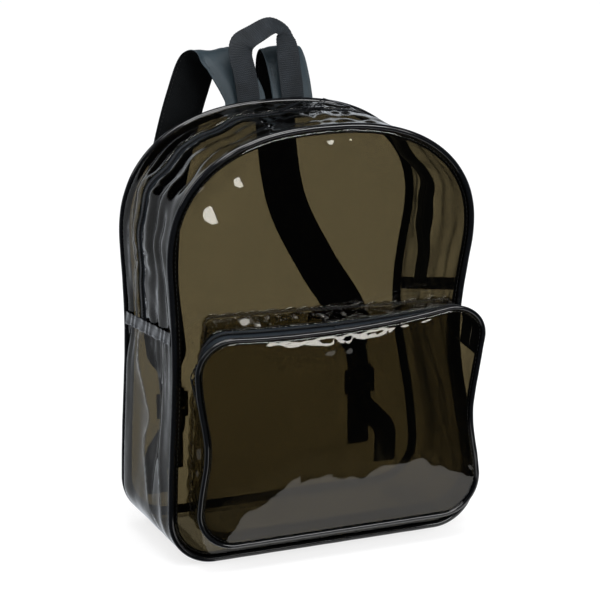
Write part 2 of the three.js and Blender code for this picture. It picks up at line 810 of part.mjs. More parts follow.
const pocketZipFrom = pocketLeftEnd + pocketGap;
const pocketZipTo = pocketRightEnd - pocketGap;
const pocketZipStations = 26;
const pocketLowerStations = 24;

const pocketLower = pocketWall(
  pocketRightEnd - 1 + pocketGap,
  pocketLeftEnd - pocketGap,
  pocketLowerStations,
  span(0, pocketRun, 3),
  0,
  filmWall,
);
addPiece(pocket, 'pocket_gusset', pocketLower, clearFilm);

const pocketZipPieces = [
  {
    name: 'pocket_zip_gusset',
    columns: span(0, pocketFilmEdge, 3),
    middle: 0,
    wall: filmWall,
    finish: clearFilm,
  },
  {
    name: 'pocket_zip_tape_back',
    columns: [pocketZipLine - coilSlit / 2 - pocketTape, pocketZipLine - coilSlit / 2],
    middle: tapeInset,
    wall: tapeWall,
    finish: zipperTape,
  },
  {
    name: 'pocket_zip_tape_front',
    columns: [pocketZipLine + coilSlit / 2, pocketRun],
    middle: tapeInset,
    wall: tapeWall,
    finish: zipperTape,
  },
];
for (const { name, columns, middle, wall, finish } of pocketZipPieces) {
  const strip = pocketWall(pocketZipFrom, pocketZipTo, pocketZipStations, columns, middle, wall);
  addPiece(pocket, name, strip, finish);
}

function pocketCoilGeometry() {
  const section = coilSection(pocketCoil, coilHeight);
  const rings = span(pocketZipFrom, pocketZipTo, pocketZipStations + 1).map((t) => (
    section.map((corner) => pocketPoint(t, pocketZipLine + corner.x, coilFoot - corner.y))
  ));
  return sweptGeometry(rings, section, false);
}
addPiece(pocket, 'pocket_zip_coil', pocketCoilGeometry(), zipperCoil);

// The pocket's turned edge, stitched flat on the front panel round the pocket.
function seamEdgeGeometry() {
  const faces = [pocketRear - seamEdgeWall, pocketRear].map((y) => {
    const grid = [];
    for (let i = 0; i < outlineStations; i += 1) {
      const t = i / outlineStations;
      const inward = pocketSeamOutline.inward(t);
      grid.push([layer + 2 * clearance, layer + seamEdgeWidth].map((out) => (
        pocketSeamOutline.getPoint(t).addScaledVector(inward, -out).setY(y)
      )));
    }
    return grid;
  });
  return wallGeometry(faces, { closed: true });
}
addPiece(pocket, 'pocket_seam_edge', seamEdgeGeometry(), clearFilm);

const pocketRingLean = 0.5;
const pocketSlider = addPiece(pocket, 'pocket_slider', sliderGeometry(), blackMetal);
const pocketPull = addPiece(pocket, 'pocket_pull', pullGeometry(pocketRingLean), blackMetal);
const pocketSliderAt = pocketLeftEnd + (sliderLength / 2) / pocketOutline.getLength();
const pocketSliderFoot = pocketPoint(pocketSliderAt, pocketZipLine, 0);
const pocketOutward = pocketOutline.inward(pocketSliderAt).negate();
seat(pocketSlider, pocketSliderFoot, pocketOutward, sliderFoot, Math.PI);
seat(pocketPull, pocketSliderFoot, pocketOutward, sliderFoot + wireHeight, Math.PI);

const carrying = new THREE.Group();
backpack.add(carrying);

// Fills in a list of sections with a smooth curve through their centres.
function smoothSections(rows, count) {
  const path = new THREE.CatmullRomCurve3(rows.map((row) => row.centre), false, 'centripetal');
  return span(0, 1, count + 1).map((share) => {
    const place = share * (rows.length - 1);
    const k = Math.min(Math.floor(place), rows.length - 2);
    const f = place - k;
    return {
      centre: path.getPoint(share),
      across: rows[k].across.clone().lerp(rows[k + 1].across, f).normalize(),
      width: THREE.MathUtils.lerp(rows[k].width, rows[k + 1].width, f),
      wall: THREE.MathUtils.lerp(rows[k].wall, rows[k + 1].wall, f),
    };
  });
}

// The loop's webbing leaves the seam behind the piping and lies flat on the back panel below it.
const loopFace = halfDepth + pipingRadius + clearance + webbingWall / 2;
const loopTailFace = halfDepth + filmWall / 2 + clearance + webbingWall / 2;

// The sewn tail of a strap: it lies on the back panel, then steps out behind the piping. The
// piping drops away from the top line towards the strap's outer edge.
function tailRows(side, spacing, width, tailFace, face, wall) {
  const outer = spacing / 2 + width / 2;
  const drop = topLine - bagOutline.getPoint(topAt(bagOutline, outer)).z;
  const below = drop + pipingRadius;
  return [
    { back: tailFace, down: below + tailLapLength },
    { back: tailFace, down: below + tailStepLength },
    { back: face, down: below + clearance },
  ].map(({ back, down }) => ({
    centre: new THREE.Vector3(side * spacing / 2, back, topLine - down),
    across: new THREE.Vector3(1, 0, 0),
    width,
    wall,
  }));
}

// Half of the haul loop, from its sewn tail to the middle of its grip. Each row: the place to the
// side as a share of half the spacing, the lean back, the rise and the skew to the right as shares
// of the loop's own, and the turn from flat to the front (0) to lying across (1).
const loopRows = [
  { side: -1, lean: 0, rise: 0.05, skew: 0, turn: 0 },
  { side: -1.02, lean: 0.2, rise: 0.4, skew: -0.25, turn: 0 },
  { side: -1.07, lean: 0.42, rise: 0.64, skew: -0.45, turn: 0.04 },
  { side: -0.99, lean: 0.62, rise: 0.79, skew: -0.34, turn: 0.26 },
  { side: -0.62, lean: 0.86, rise: 0.91, skew: 0.5, turn: 0.68 },
  { side: 0, lean: 1, rise: 1, skew: 1, turn: 1 },
];

function haulLoopGeometry() {
  const tilt = THREE.MathUtils.degToRad(loopTilt);
  const grip = new THREE.Vector3(0, -Math.cos(tilt), -Math.sin(tilt));
  const place = (mirror) => loopRows.map(({ side, lean, rise, skew, turn }) => {
    const angle = turn * Math.PI / 2;
    const leg = new THREE.Vector3(1, 0, 0);
    return {
      centre: new THREE.Vector3(
        mirror * -side * loopSpacing / 2 + skew * loopSkewWidth,
        loopFace + lean * loopLeanDepth,
        topLine + rise * loopHeight,
      ),
      across: leg.multiplyScalar(Math.cos(angle)).addScaledVector(grip, -mirror * Math.sin(angle)),
      width: webbingWidth,
      wall: webbingWall,
    };
  });
  const half = (mirror) => [
    ...tailRows(mirror, loopSpacing, webbingWidth, loopTailFace, loopFace, webbingWall),
    ...place(mirror),
  ];
  const right = half(1);
  const left = half(-1).reverse().map((row) => ({ ...row, across: row.across.clone().negate() }));
  return ribbonGeometry(smoothSections([...right, ...left.slice(1)], 36), flatSection);
}
addPiece(carrying, 'haul_loop', haulLoopGeometry(), blackWebbing);

// A shoulder strap, from its sewn end behind the haul loop over its fold and down behind the bag.
// Each row: how far it stands out to the side on the left and on the right strap, as shares of the
// splay, how far back, as a share of the reach, the rise or the drop as shares of their own, and
// the padding, from the flat sewn end (0) to full (1).
const strapRows = [
  { left: 0.0, right: 0.0, back: 0.08, rise: 0.1, drop: 0, pad: 0.1 },
  { left: 0.08, right: 0.0, back: 0.24, rise: 0.46, drop: 0, pad: 0.7 },
  { left: 0.2, right: 0.0, back: 0.52, rise: 0.86, drop: 0, pad: 0.9 },
  { left: 0.3, right: 0.0, back: 0.79, rise: 1.0, drop: 0, pad: 0.9 },
  { left: 0.4, right: 0.0, back: 1.0, rise: 0.82, drop: 0, pad: 0.9 },
  { left: 0.57, right: 0.0, back: 1.06, rise: 0.05, drop: 0, pad: 1 },
  { left: 0.78, right: 0.01, back: 1.02, rise: 0, drop: 0.18, pad: 1 },
  { left: 0.96, right: 0.14, back: 0.94, rise: 0, drop: 0.4, pad: 1 },
  { left: 1.05, right: 0.52, back: 0.76, rise: 0, drop: 0.62, pad: 1 },
  { left: 1.03, right: 0.9, back: 0.54, rise: 0, drop: 0.8, pad: 1 },
  { left: 1.0, right: 1.0, back: 0.38, rise: 0, drop: 0.93, pad: 1 },
];

const strapFace = loopFace + webbingWall / 2 + clearance + strapEndWall / 2;
const strapTailFace = loopTailFace + webbingWall / 2 + clearance + strapEndWall / 2;
const lockDepth = halfDepth + lockStandoffDepth;
const lockMiddle = bottomLine + lockLiftHeight + lockHeight / 2;
const strapDrop = topLine - lockMiddle - lockHeight / 2;
const wrap = lockThickness / 2 + clearance + webbingWall / 2;

// A half turn of webbing round a bar that runs along X, from behind the bar to its front.
function wrapRows(x, barEdge, up, across, from, to) {
  return [from, 0, 1, 2, 3, 4, to].map((step, k, all) => {
    const row = { across, width: webbingWidth, wall: webbingWall };
    if (k === 0) {
      return { ...row, centre: new THREE.Vector3(x, lockDepth + wrap, barEdge + up * from) };
    }
    if (k === all.length - 1) {
      return { ...row, centre: new THREE.Vector3(x, lockDepth - wrap, barEdge + up * to) };
    }
    const angle = Math.PI * step / 4;
    return {
      ...row,
      centre: new THREE.Vector3(x, lockDepth + wrap * Math.cos(angle), barEdge - up * wrap * Math.sin(angle)),
    };
  });
}

const lockInner = lockHeight / 2 - lockBar;

function strapGeometry(side) {
  const base = strapSpacing / 2;
  const across = new THREE.Vector3(1, 0, 0);
  const out = (row) => (side < 0 ? row.left : row.right) * strapSplayWidth;
  const place = (x, y, z) => new THREE.Vector3(side * x, y, z);
  const tail = tailRows(side, strapSpacing, strapWidth, strapTailFace, strapFace, strapEndWall);
  const loop = strapRows.map((row) => ({
    centre: place(
      base + out(row),
      strapFace + row.back * strapReachDepth,
      topLine + row.rise * strapRiseHeight - row.drop * strapDrop,
    ),
    across,
    width: strapWidth,
    wall: THREE.MathUtils.lerp(strapEndWall, strapPad, row.pad),
  }));
  const endX = side * (base + strapSplayWidth);
  const barEdge = lockMiddle + lockInner;
  const turn = wrapRows(endX, barEdge, 1, across, lockBar + clearance, lockBar + strapPad);
  return ribbonGeometry([...smoothSections([...tail, ...loop], 28), ...turn], paddedSection);
}

// The adjuster's webbing: from the lower back seam up round the lock's lower bar, with a free tail.
function adjusterGeometry(side) {
  const across = new THREE.Vector3(1, 0, 0);
  const endX = side * (strapSpacing / 2 + strapSplayWidth);
  const barEdge = lockMiddle - lockInner;
  const row = { across, width: webbingWidth, wall: webbingWall };
  const turn = wrapRows(endX, barEdge, -1, across, freeTailLength, lockLeadLength);
  const anchorX = side * (halfWidth - anchorInsetWidth);
  const anchor = [
    { up: anchorHeight + anchorLeadHeight, off: webbingWall },
    { up: anchorHeight, off: 0 },
    { up: anchorHeight - tailLapLength, off: 0 },
  ].map(({ up, off }) => ({
    ...row,
    centre: new THREE.Vector3(anchorX, loopTailFace + off, bottomLine + up),
  }));
  const lead = smoothSections([turn[turn.length - 1], ...anchor], 10);
  return ribbonGeometry([...turn, ...lead.slice(1)], flatSection);
}

// The lock: a moulded frame with two slots.
function lockGeometry() {
  const frame = new THREE.Shape();
  const wide = lockWidth / 2;
  const high = lockHeight / 2;
  frame.moveTo(-wide, -high + lockRim);
  frame.lineTo(-wide + lockRim, -high);
  frame.lineTo(wide - lockRim, -high);
  frame.lineTo(wide, -high + lockRim);
  frame.lineTo(wide, high - lockRim);
  frame.lineTo(wide - lockRim, high);
  frame.lineTo(-wide + lockRim, high);
  frame.lineTo(-wide, high - lockRim);
  frame.closePath();
  for (const side of [-1, 1]) {
    const slot = new THREE.Path();
    const slotWide = webbingWidth / 2 + clearance * 2;
    const outer = side * lockInner;
    const inner = side * (lockInner - lockSlot);
    slot.moveTo(-slotWide, outer);
    slot.lineTo(slotWide, outer);
    slot.lineTo(slotWide, inner);
    slot.lineTo(-slotWide, inner);
    slot.closePath();
    frame.holes.push(slot);
  }
  const solid = new THREE.ExtrudeGeometry(frame, { depth: lockThickness, bevelEnabled: false });
  solid.translate(0, 0, -lockThickness / 2);
  solid.rotateX(Math.PI / 2);
  return solid;
}

for (const [side, name] of [[-1, 'left'], [1, 'right']]) {
  addPiece(carrying, `shoulder_strap_${name}`, strapGeometry(side), strapCloth);
  addPiece(carrying, `strap_webbing_${name}`, adjusterGeometry(side), blackWebbing);
  const lock = addPiece(carrying, `ladder_lock_${name}`, lockGeometry(), blackPlastic);
  lock.position.set(side * (strapSpacing / 2 + strapSplayWidth), lockDepth, lockMiddle);
}

export default backpack;
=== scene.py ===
"""Clear stadium backpack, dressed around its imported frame.

See-through vinyl film with black piping, an arch zipper, a zipped front pocket, a webbing haul loop
and two padded shoulder straps. Lengths are in millimetres until a mesh is written, in metres.
"""

from __future__ import annotations

import json
import logging
import math
from dataclasses import dataclass, field
from enum import Enum
from typing import Callable, Sequence

import bpy
import numpy as np
from mathutils import Matrix, Vector

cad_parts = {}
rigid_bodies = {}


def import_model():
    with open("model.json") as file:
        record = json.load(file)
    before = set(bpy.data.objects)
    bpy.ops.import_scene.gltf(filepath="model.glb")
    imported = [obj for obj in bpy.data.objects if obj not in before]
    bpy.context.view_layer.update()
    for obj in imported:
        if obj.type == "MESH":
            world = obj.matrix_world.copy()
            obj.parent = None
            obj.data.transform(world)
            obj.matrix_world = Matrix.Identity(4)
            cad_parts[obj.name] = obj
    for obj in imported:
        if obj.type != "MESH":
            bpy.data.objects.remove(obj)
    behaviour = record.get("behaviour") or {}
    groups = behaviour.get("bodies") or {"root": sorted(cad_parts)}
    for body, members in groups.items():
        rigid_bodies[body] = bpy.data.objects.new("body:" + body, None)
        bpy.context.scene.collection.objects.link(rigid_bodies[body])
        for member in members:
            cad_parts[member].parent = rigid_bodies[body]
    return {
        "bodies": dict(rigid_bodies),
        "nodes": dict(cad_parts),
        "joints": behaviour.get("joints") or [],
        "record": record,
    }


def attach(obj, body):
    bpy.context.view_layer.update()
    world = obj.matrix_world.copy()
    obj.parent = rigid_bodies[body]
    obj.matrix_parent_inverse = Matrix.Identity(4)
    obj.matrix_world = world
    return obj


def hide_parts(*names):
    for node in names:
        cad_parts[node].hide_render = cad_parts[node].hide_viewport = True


logging.basicConfig(level=logging.INFO, format="%(message)s")
log = logging.getLogger("backpack")

MM = 0.001
BODY = "root"
THREAD_LIFT = 0.1

Points = np.ndarray


class Slot(Enum):
    """The record's material slots."""

    FILM = "clear_vinyl"
    TRIM = "black_vinyl"
    TAPE = "zipper_tape"
    COIL = "zipper_coil"
    WEBBING = "black_webbing"
    STRAP = "strap_cloth"
    METAL = "black_metal"
    LOCK = "black_plastic"


class Side(Enum):
    """Which side of the bag, seen from its front."""

    LEFT = -1
    RIGHT = 1


def smooth(x: Points | float) -> Points:
    """A smooth step from 0 to 1."""
    x = np.clip(x, 0.0, 1.0)
    return x * x * (3 - 2 * x)


def bell(x: Points) -> Points:
    """A bell curve of height 1 and half width about 1."""
    return np.exp(-np.square(x))


def unit(vectors: Points) -> Points:
    """The same directions, each of length 1."""
    return vectors / np.maximum(np.linalg.norm(vectors, axis=-1, keepdims=True), 1e-9)


def lengths(line: Points) -> Points:
    """The length run along a line at each of its points, from 0."""
    return np.concatenate([[0], np.cumsum(np.linalg.norm(np.diff(line, axis=0), axis=1))])


def facing(line: Points, y: float) -> Points:
    """The direction along Y, forward or back, at each point of a line."""
    return np.broadcast_to([0.0, y, 0.0], line.shape)


def ripples(x: Points, y: Points, length: float, seed: int, waves: int = 7) -> Points:
    """Soft irregular waves over a surface, within about -1 to 1.

    Args:
        x: first coordinate on the surface, in mm.
        y: second coordinate on the surface, in mm.
        length: the usual distance from crest to crest, in mm.
        seed: which pattern.
        waves: how many plain waves are added up.

    Returns:
        The height of the waves at each point.
    """
    draw = np.random.default_rng(seed)
    total = np.zeros(np.broadcast(x, y).shape)
    for turn, phase, stretch in zip(
        draw.uniform(0, math.tau, waves), draw.uniform(0, math.tau, waves), draw.uniform(0.7, 1.6, waves)
    ):
        wave = math.tau / (length * stretch)
        total = total + np.sin(wave * (np.cos(turn) * x + np.sin(turn) * y) + phase)
    return total / math.sqrt(waves) / 1.4


@dataclass(frozen=True)
class StitchRow:
    """A row of stitches: a stitch's length, the gap after it, its thickness and the zigzag's half width."""

    length: float
    gap: float
    thread: float = 0.5
    zigzag: float = 0.0


def pleats(run: Points, pitch: float, drift: float, over: float, phase: Points | float = 0.0) -> Points:
    """Uneven pleats along a seam, between -1 and 1.

    Args:
        run: lengths along the seam, in mm.
        pitch: the length over which a pleat turns by one radian.
        drift: how many radians the pleats run ahead and fall behind.
        over: the length over which that drift turns by one radian.
        phase: where a pleat starts, in radians.

    Returns:
        The height of the pleats.
    """
    return np.sin(run / pitch + drift * np.sin(run / over) + phase)


class SeamOutline:
    """A closed seam in a plane of constant Y: it runs from the bottom middle left, up, over and down."""

    SAMPLES = 6000
    TANGENT_STEP = 0.0015

    def __init__(
        self,
        stretches: Sequence[tuple[float, Callable[[Points], Points]]],
        drawn: Callable[[Points], Points],
    ) -> None:
        """Samples the stretches of the seam.

        Args:
            stretches: the share of each stretch, and the function from 0..1 to its (x, z) points.
            drawn: moves all the points, to draw in the waist.
        """
        total = sum(steps for steps, _ in stretches)
        self.t = np.linspace(0, 1, self.SAMPLES + 1)
        along = self.t * total
        points = np.zeros((self.SAMPLES + 1, 2))
        start = 0.0
        for steps, at in stretches:
            inside = (along >= start - 1e-9) & (along <= start + steps + 1e-9)
            points[inside] = at(np.clip((along[inside] - start) / steps, 0, 1))
            start += steps
        self.points = drawn(points)
        self.run = lengths(self.points)

    def at(self, t: Points | float) -> Points:
        """The (x, z) points at shares of the outline."""
        t = np.mod(t, 1.0)
        return np.stack([np.interp(t, self.t, self.points[:, k]) for k in (0, 1)], -1)

    def inward(self, t: Points | float) -> Points:
        """The unit (x, z) vectors from the outline into the bag."""
        run = unit(self.at(np.asarray(t) + self.TANGENT_STEP) - self.at(np.asarray(t) - self.TANGENT_STEP))
        return np.stack([run[..., 1], -run[..., 0]], -1)

    def at_height(self, side: Side, height: Points | float) -> Points:
        """Where on one half the outline has these heights."""
        middle = self.SAMPLES // 2
        if side is Side.LEFT:
            z = np.maximum.accumulate(self.points[: middle + 1, 1])
            return np.interp(height, z, self.t[: middle + 1])
        z = np.maximum.accumulate(self.points[middle:, 1][::-1])
        return np.interp(height, z, self.t[middle:][::-1])

    def top_at(self, x: float) -> float:
        """Where on its top the outline has this x."""
        top = (self.t > 0.3) & (self.t < 0.7)
        return float(np.interp(x, self.points[top, 0], self.t[top]))

    def length_at(self, t: Points | float) -> Points:
        """The length run along the outline, in mm, also past a whole turn."""
        turns = np.floor(t)
        return np.interp(np.asarray(t) - turns, self.t, self.run) + turns * self.run[-1]

    def spread(self, start: float, end: float, count: int) -> Points:
        """Shares from start to end that lie evenly along the seam's length."""
        dense = np.linspace(start, end, 4000)
        return np.interp(
            np.linspace(0, 1, count),
            (self.length_at(dense) - self.length_at(start)) / (self.length_at(end) - self.length_at(start)),
            dense,
        )


def straight(a: tuple[float, float], b: tuple[float, float]) -> Callable[[Points], Points]:
    """A straight stretch from a to b."""
    return lambda f: np.outer(1 - f, a) + np.outer(f, b)


def arc(centre: tuple[float, float], radius: float, start: float, end: float) -> Callable[[Points], Points]:
    """A round stretch about centre, between two angles in degrees."""

    def at(f: Points) -> Points:
        """The points at shares of the arc."""
        angle = np.radians(start + (end - start) * f)
        return np.stack([centre[0] + radius * np.cos(angle), centre[1] + radius * np.sin(angle)], -1)

    return at


@dataclass(frozen=True)
class BagShape:
    """The sizes that all pieces share, and the forms that follow from them."""

    clearance: float = 0.3
    film: float = 1.0
    width: float = 337.0
    height: float = 430.0
    depth: float = 140.0
    arch_height: float = 135.0
    arch_power: float = 2.4
    corner: float = 46.0
    waist_height: float = 211.0
    waist_spread: float = 103.0
    waist_left: float = 6.7
    waist_right: float = 22.5
    piping: float = 5.8
    zip_setback: float = 18.0
    left_seam: tuple[float, float] = (232.0, 219.0)
    right_seam: tuple[float, float] = (256.0, 222.0)

    @property
    def bead(self) -> float:
        """The radius of the main piping's bead."""
        return self.piping / 2

    @property
    def half_depth(self) -> float:
        """The distance of either seam plane from the middle."""
        return self.depth / 2

    @property
    def half_width(self) -> float:
        """The distance of the seams from the middle at the bag's widest place."""
        return self.width / 2 - self.bead

    @property
    def top(self) -> float:
        """The height of the seams' highest point."""
        return self.height - self.bead

    @property
    def gusset_edge(self) -> float:
        """How far in depth the gusset's film reaches from the middle."""
        return self.half_depth - self.bead - self.clearance

    @property
    def layer(self) -> float:
        """From the middle of the film to the face of what lies against it."""
        return self.film / 2 + self.clearance

    def waist(self, x: Points, z: Points) -> Points:
        """How far a side is drawn in at its height."""
        pull = np.where(x < 0, self.waist_left, self.waist_right)
        return pull * bell((z - self.waist_height) / self.waist_spread)

    def outline(self) -> SeamOutline:
        """The seam that both panels share."""
        w, b, r = self.half_width, self.bead, self.corner
        shoulder = self.top - self.arch_height

        def arch(f: Points) -> Points:
            """The superellipse over the top."""
            c, s = -np.cos(math.pi * f), np.maximum(np.sin(math.pi * f), 0)
            share = 2 / self.arch_power
            return np.stack([w * np.sign(c) * np.abs(c) ** share, shoulder + self.arch_height * s**share], -1)

        def drawn(points: Points) -> Points:
            """The points with the waist drawn in."""
            x, z = points.T
            return np.stack([x - np.sign(x) * self.waist(x, z), z], -1)

        stretches = [
            (1.5, straight((0, b), (-w + r, b))),
            (2.0, arc((-w + r, b + r), r, 270, 180)),
            (2.5, straight((-w, b + r), (-w, shoulder))),
            (10.0, arch),
            (2.5, straight((w, shoulder), (w, b + r))),
            (2.0, arc((w - r, b + r), r, 0, -90)),
            (1.5, straight((w - r, b), (0, b))),
        ]
        return SeamOutline(stretches, drawn)

    def seam_height(self, side: Side, y: Points | float) -> Points:
        """The height of a side seam at a depth."""
        front, back = self.left_seam if side is Side.LEFT else self.right_seam
        return front + (back - front) * (np.asarray(y) + self.half_depth) / self.depth


SHAPE = BagShape()
SEAM = SHAPE.outline()


def pocket_seam(
    left: float,
    right: float,
    bottom: float,
    top: float,
    low_corner: float,
    high_corner: float,
    waist: Callable[[Points, Points], Points],
    sag: float,
    tilt: float,
) -> SeamOutline:
    """A round-cornered seam with its own waist and a top edge that sags and tilts.

    Args:
        left: half width to the left.
        right: half width to the right.
        bottom: height of the bottom edge.
        top: height of the top edge before it sags.
        low_corner: radius of the lower corners.
        high_corner: radius of the upper corners.
        waist: how far a side is drawn in at its height.
        sag: drop of the top edge's middle.
        tilt: drop of the top edge's right end, and rise of its left end.

    Returns:
        The seam.
    """

    def drawn(points: Points) -> Points:
        """The points with the waist, sag and tilt."""
        x, z = points.T
        share = x / np.where(x < 0, left, right)
        up = np.clip((z - bottom) / (top - bottom), 0, 1)
        drop = up * (sag * (1 - share**2) + tilt * share)
        return np.stack([x - np.sign(x) * waist(x, z), z - drop], -1)

    low, high = low_corner, high_corner
    stretches = [
        (1.5, straight((0, bottom), (-left + low, bottom))),
        (2.0, arc((-left + low, bottom + low), low, 270, 180)),
        (2.0, straight((-left, bottom + low), (-left, top - high))),
        (2.0, arc((-left + high, top - high), high, 180, 90)),
        (3.0, straight((-left + high, top), (right - high, top))),
        (2.0, arc((right - high, top - high), high, 90, 0)),
        (2.0, straight((right, top - high), (right, bottom + low))),
        (2.0, arc((right - low, bottom + low), low, 0, -90)),
        (1.5, straight((right - low, bottom), (0, bottom))),
    ]
    return SeamOutline(stretches, drawn)


def in_depth(xz: Points, y: Points | float) -> Points:
    """Turns (x, z) points into (x, y, z) points."""
    return np.stack([xz[..., 0], np.broadcast_to(y, xz.shape[:-1]), xz[..., 1]], -1)


def select_only(obj: bpy.types.Object) -> None:
    """Leaves this object alone selected and active."""
    bpy.ops.object.select_all(action="DESELECT")
    obj.select_set(True)
    bpy.context.view_layer.objects.active = obj


def join(first: bpy.types.Object, second: bpy.types.Object) -> None:
    """Joins the second piece into the first."""
    select_only(first)
    second.select_set(True)
    bpy.ops.object.join()


def box(size: Sequence[float]) -> bpy.types.Object:
    """A box about the origin."""
    bpy.ops.object.select_all(action="DESELECT")
    bpy.ops.mesh.primitive_cube_add(size=1)
    obj = bpy.context.object
    obj.data.transform(Matrix.Diagonal((*size, 1)))
    return obj


def edit_all(*steps: Callable[[], object]) -> None:
    """Runs operators in edit mode on the whole active mesh."""
    bpy.ops.object.mode_set(mode="EDIT")
    bpy.ops.mesh.select_all(action="SELECT")
    for step in steps:
        step()
    bpy.ops.object.mode_set(mode="OBJECT")


def modify(obj: bpy.types.Object, kind: str, **settings: object) -> None:
    """Adds a modifier and applies it.

    Args:
        obj: the piece.
        kind: the modifier's type.
        settings: the modifier's values.
    """
    select_only(obj)
    modifier = obj.modifiers.new(kind.title(), kind)
    for name, value in settings.items():
        setattr(modifier, name, value)
    bpy.ops.object.modifier_apply(modifier=modifier.name)


def lay_sheet(name: str, points: Points, merge: bool = False, wall: float = 0.0) -> bpy.types.Object:
    """Lays a grid on a surface, with UVs in real metres along its rows and columns.

    Args:
        name: name of the piece.
        points: rows x columns x 3, in mm. Rows or columns may close on themselves.
        merge: joins the grid's edges where they meet, and its rows where they share a pole.
        wall: thickness to give the sheet, in mm.

    Returns:
        The piece.
    """
    rows, columns = points.shape[:2]
    bpy.ops.object.select_all(action="DESELECT")
    bpy.ops.mesh.primitive_grid_add(x_subdivisions=columns - 1, y_subdivisions=rows - 1, size=1)
    obj = bpy.context.object
    obj.name = obj.data.name = name
    obj.data.vertices.foreach_set("co", (points * MM).reshape(-1))
    steps_down = np.linalg.norm(np.diff(points, axis=0), axis=2).mean(axis=1)
    steps_over = np.linalg.norm(np.diff(points, axis=1), axis=2).mean(axis=0)
    down = np.concatenate([[0], np.cumsum(steps_down)]) * MM
    over = np.concatenate([[0], np.cumsum(steps_over)]) * MM
    layer = obj.data.uv_layers.active or obj.data.uv_layers.new(name="Cut")
    corner = np.zeros(len(obj.data.loops), dtype=np.int64)
    obj.data.loops.foreach_get("vertex_index", corner)
    uv = np.stack([over[corner % columns], down[corner // columns]], -1)
    layer.data.foreach_set("uv", uv.reshape(-1))
    obj.data.update()
    if merge:
        select_only(obj)
        edit_all(lambda: bpy.ops.mesh.remove_doubles(threshold=1e-6))
    if wall:
        modify(obj, "SOLIDIFY", thickness=wall * MM, offset=0.0, use_even_offset=False)
    select_only(obj)
    bpy.ops.object.shade_smooth()
    return obj


def point_outwards(obj: bpy.types.Object) -> None:
    """Turns all faces of a closed piece outwards."""
    select_only(obj)
    edit_all(lambda: bpy.ops.mesh.normals_make_consistent(inside=False))


def sweep(name: str, rings: Points, closed: bool) -> bpy.types.Object:
    """Sweeps rings of a section into a closed solid.

    Args:
        name: name of the piece.
        rings: stations x section points x 3, in mm, without a repeated last point.
        closed: the sweep ends where it starts.

    Returns:
        The piece.
    """
    rings = np.concatenate([rings, rings[:, :1]], axis=1)
    if closed:
        rings = np.concatenate([rings, rings[:1]], axis=0)
    else:
        first = np.repeat(rings[:1, :-1].mean(axis=1, keepdims=True), rings.shape[1], axis=1)
        last = np.repeat(rings[-1:, :-1].mean(axis=1, keepdims=True), rings.shape[1], axis=1)
        rings = np.concatenate([first, rings, last], axis=0)
    obj = lay_sheet(name, rings, merge=True)
    point_outwards(obj)
    return obj


def round_section(width: float, wall: float, count: int = 16, power: float = 4.0) -> Points:
    """A flat section with rounded edges, as (across, up) points in mm."""
    angle = np.linspace(0, math.tau, count, endpoint=False)
    sides = ((width, np.cos(angle)), (wall, np.sin(angle)))
    return np.stack([size / 2 * np.sign(c) * np.abs(c) ** (2 / power) for size, c in sides], -1)


def frames_along(centres: Points, across: Points) -> tuple[Points, Points, Points]:
    """The along, across and up directions of a ribbon, at each of its stations."""
    along = np.empty_like(centres)
    along[1:-1] = centres[2:] - centres[:-2]
    along[0], along[-1] = centres[1] - centres[0], centres[-1] - centres[-2]
    along = unit(along)
    across = unit(across - along * np.sum(along * across, axis=1, keepdims=True))
    return along, across, np.cross(along, across)


def ribbon_rings(centres: Points, across: Points, sections: Points) -> Points:
    """Rings of a ribbon.

    Args:
        centres: stations x 3.
        across: stations x 3, the ribbon's width direction.
        sections: stations x points x 2, the section as (across, up).

    Returns:
        Stations x points x 3.
    """
    _, side, up = frames_along(centres, across)
    return centres[:, None] + side[:, None] * sections[..., :1] + up[:, None] * sections[..., 1:]


def copies(name: str, template: bpy.types.Object, origins: Points, axes: Points) -> bpy.types.Object:
    """Joins many copies of a small shape into one piece.

    Args:
        name: name of the piece.
        template: the shape, in mm about the origin. It is removed.
        origins: count x 3, in mm.
        axes: count x 3 x 3, each copy's X, Y and Z directions as rows.

    Returns:
        The piece.
    """
    mesh = template.data
    shape = np.array([v.co[:] for v in mesh.vertices])
    faces = [list(p.vertices) for p in mesh.polygons]
    vertices = (origins[:, None] + np.einsum("vk,nkj->nvj", shape, axes)) * MM
    count = len(shape)
    all_faces = [[i + n * count for i in face] for n in range(len(origins)) for face in faces]
    made = bpy.data.meshes.new(name)
    made.from_pydata(vertices.reshape(-1, 3), [], all_faces)
    made.polygons.foreach_set("use_smooth", [True] * len(all_faces))
    obj = bpy.data.objects.new(name, made)
    bpy.context.scene.collection.objects.link(obj)
    bpy.data.objects.remove(template)
    return obj


def stitch_shape(length: float, thread: float) -> bpy.types.Object:
    """One stitch: a short length of thread that dives into the cloth at both ends."""
    bpy.ops.object.select_all(action="DESELECT")
    bpy.ops.mesh.primitive_uv_sphere_add(segments=6, ring_count=4, radius=0.5)
    obj = bpy.context.object
    obj.data.transform(Matrix.Rotation(math.pi / 2, 4, "Y"))
    obj.data.transform(Matrix.Diagonal((length, thread, thread, 1)))
    return obj


def placed_along(
    line: Points, up: Points, place: Points, near: float
) -> tuple[Points, Points, Points, Points]:
    """Places on a line, with their directions.

    Args:
        line: the line's points, in mm.
        up: outward directions at its points.
        place: lengths along it.
        near: how far ahead and behind its direction is taken.

    Returns:
        The points, and the directions along, across and outwards there.
    """
    run = lengths(line)

    def along(values: Points, at: Points) -> Points:
        """Values at lengths along the line."""
        return np.stack([np.interp(at, run, values[:, k]) for k in range(3)], -1)

    normal = unit(along(up, place))
    tangent = unit(along(line, place + near) - along(line, place - near))
    return along(line, place), tangent, np.cross(normal, tangent), normal


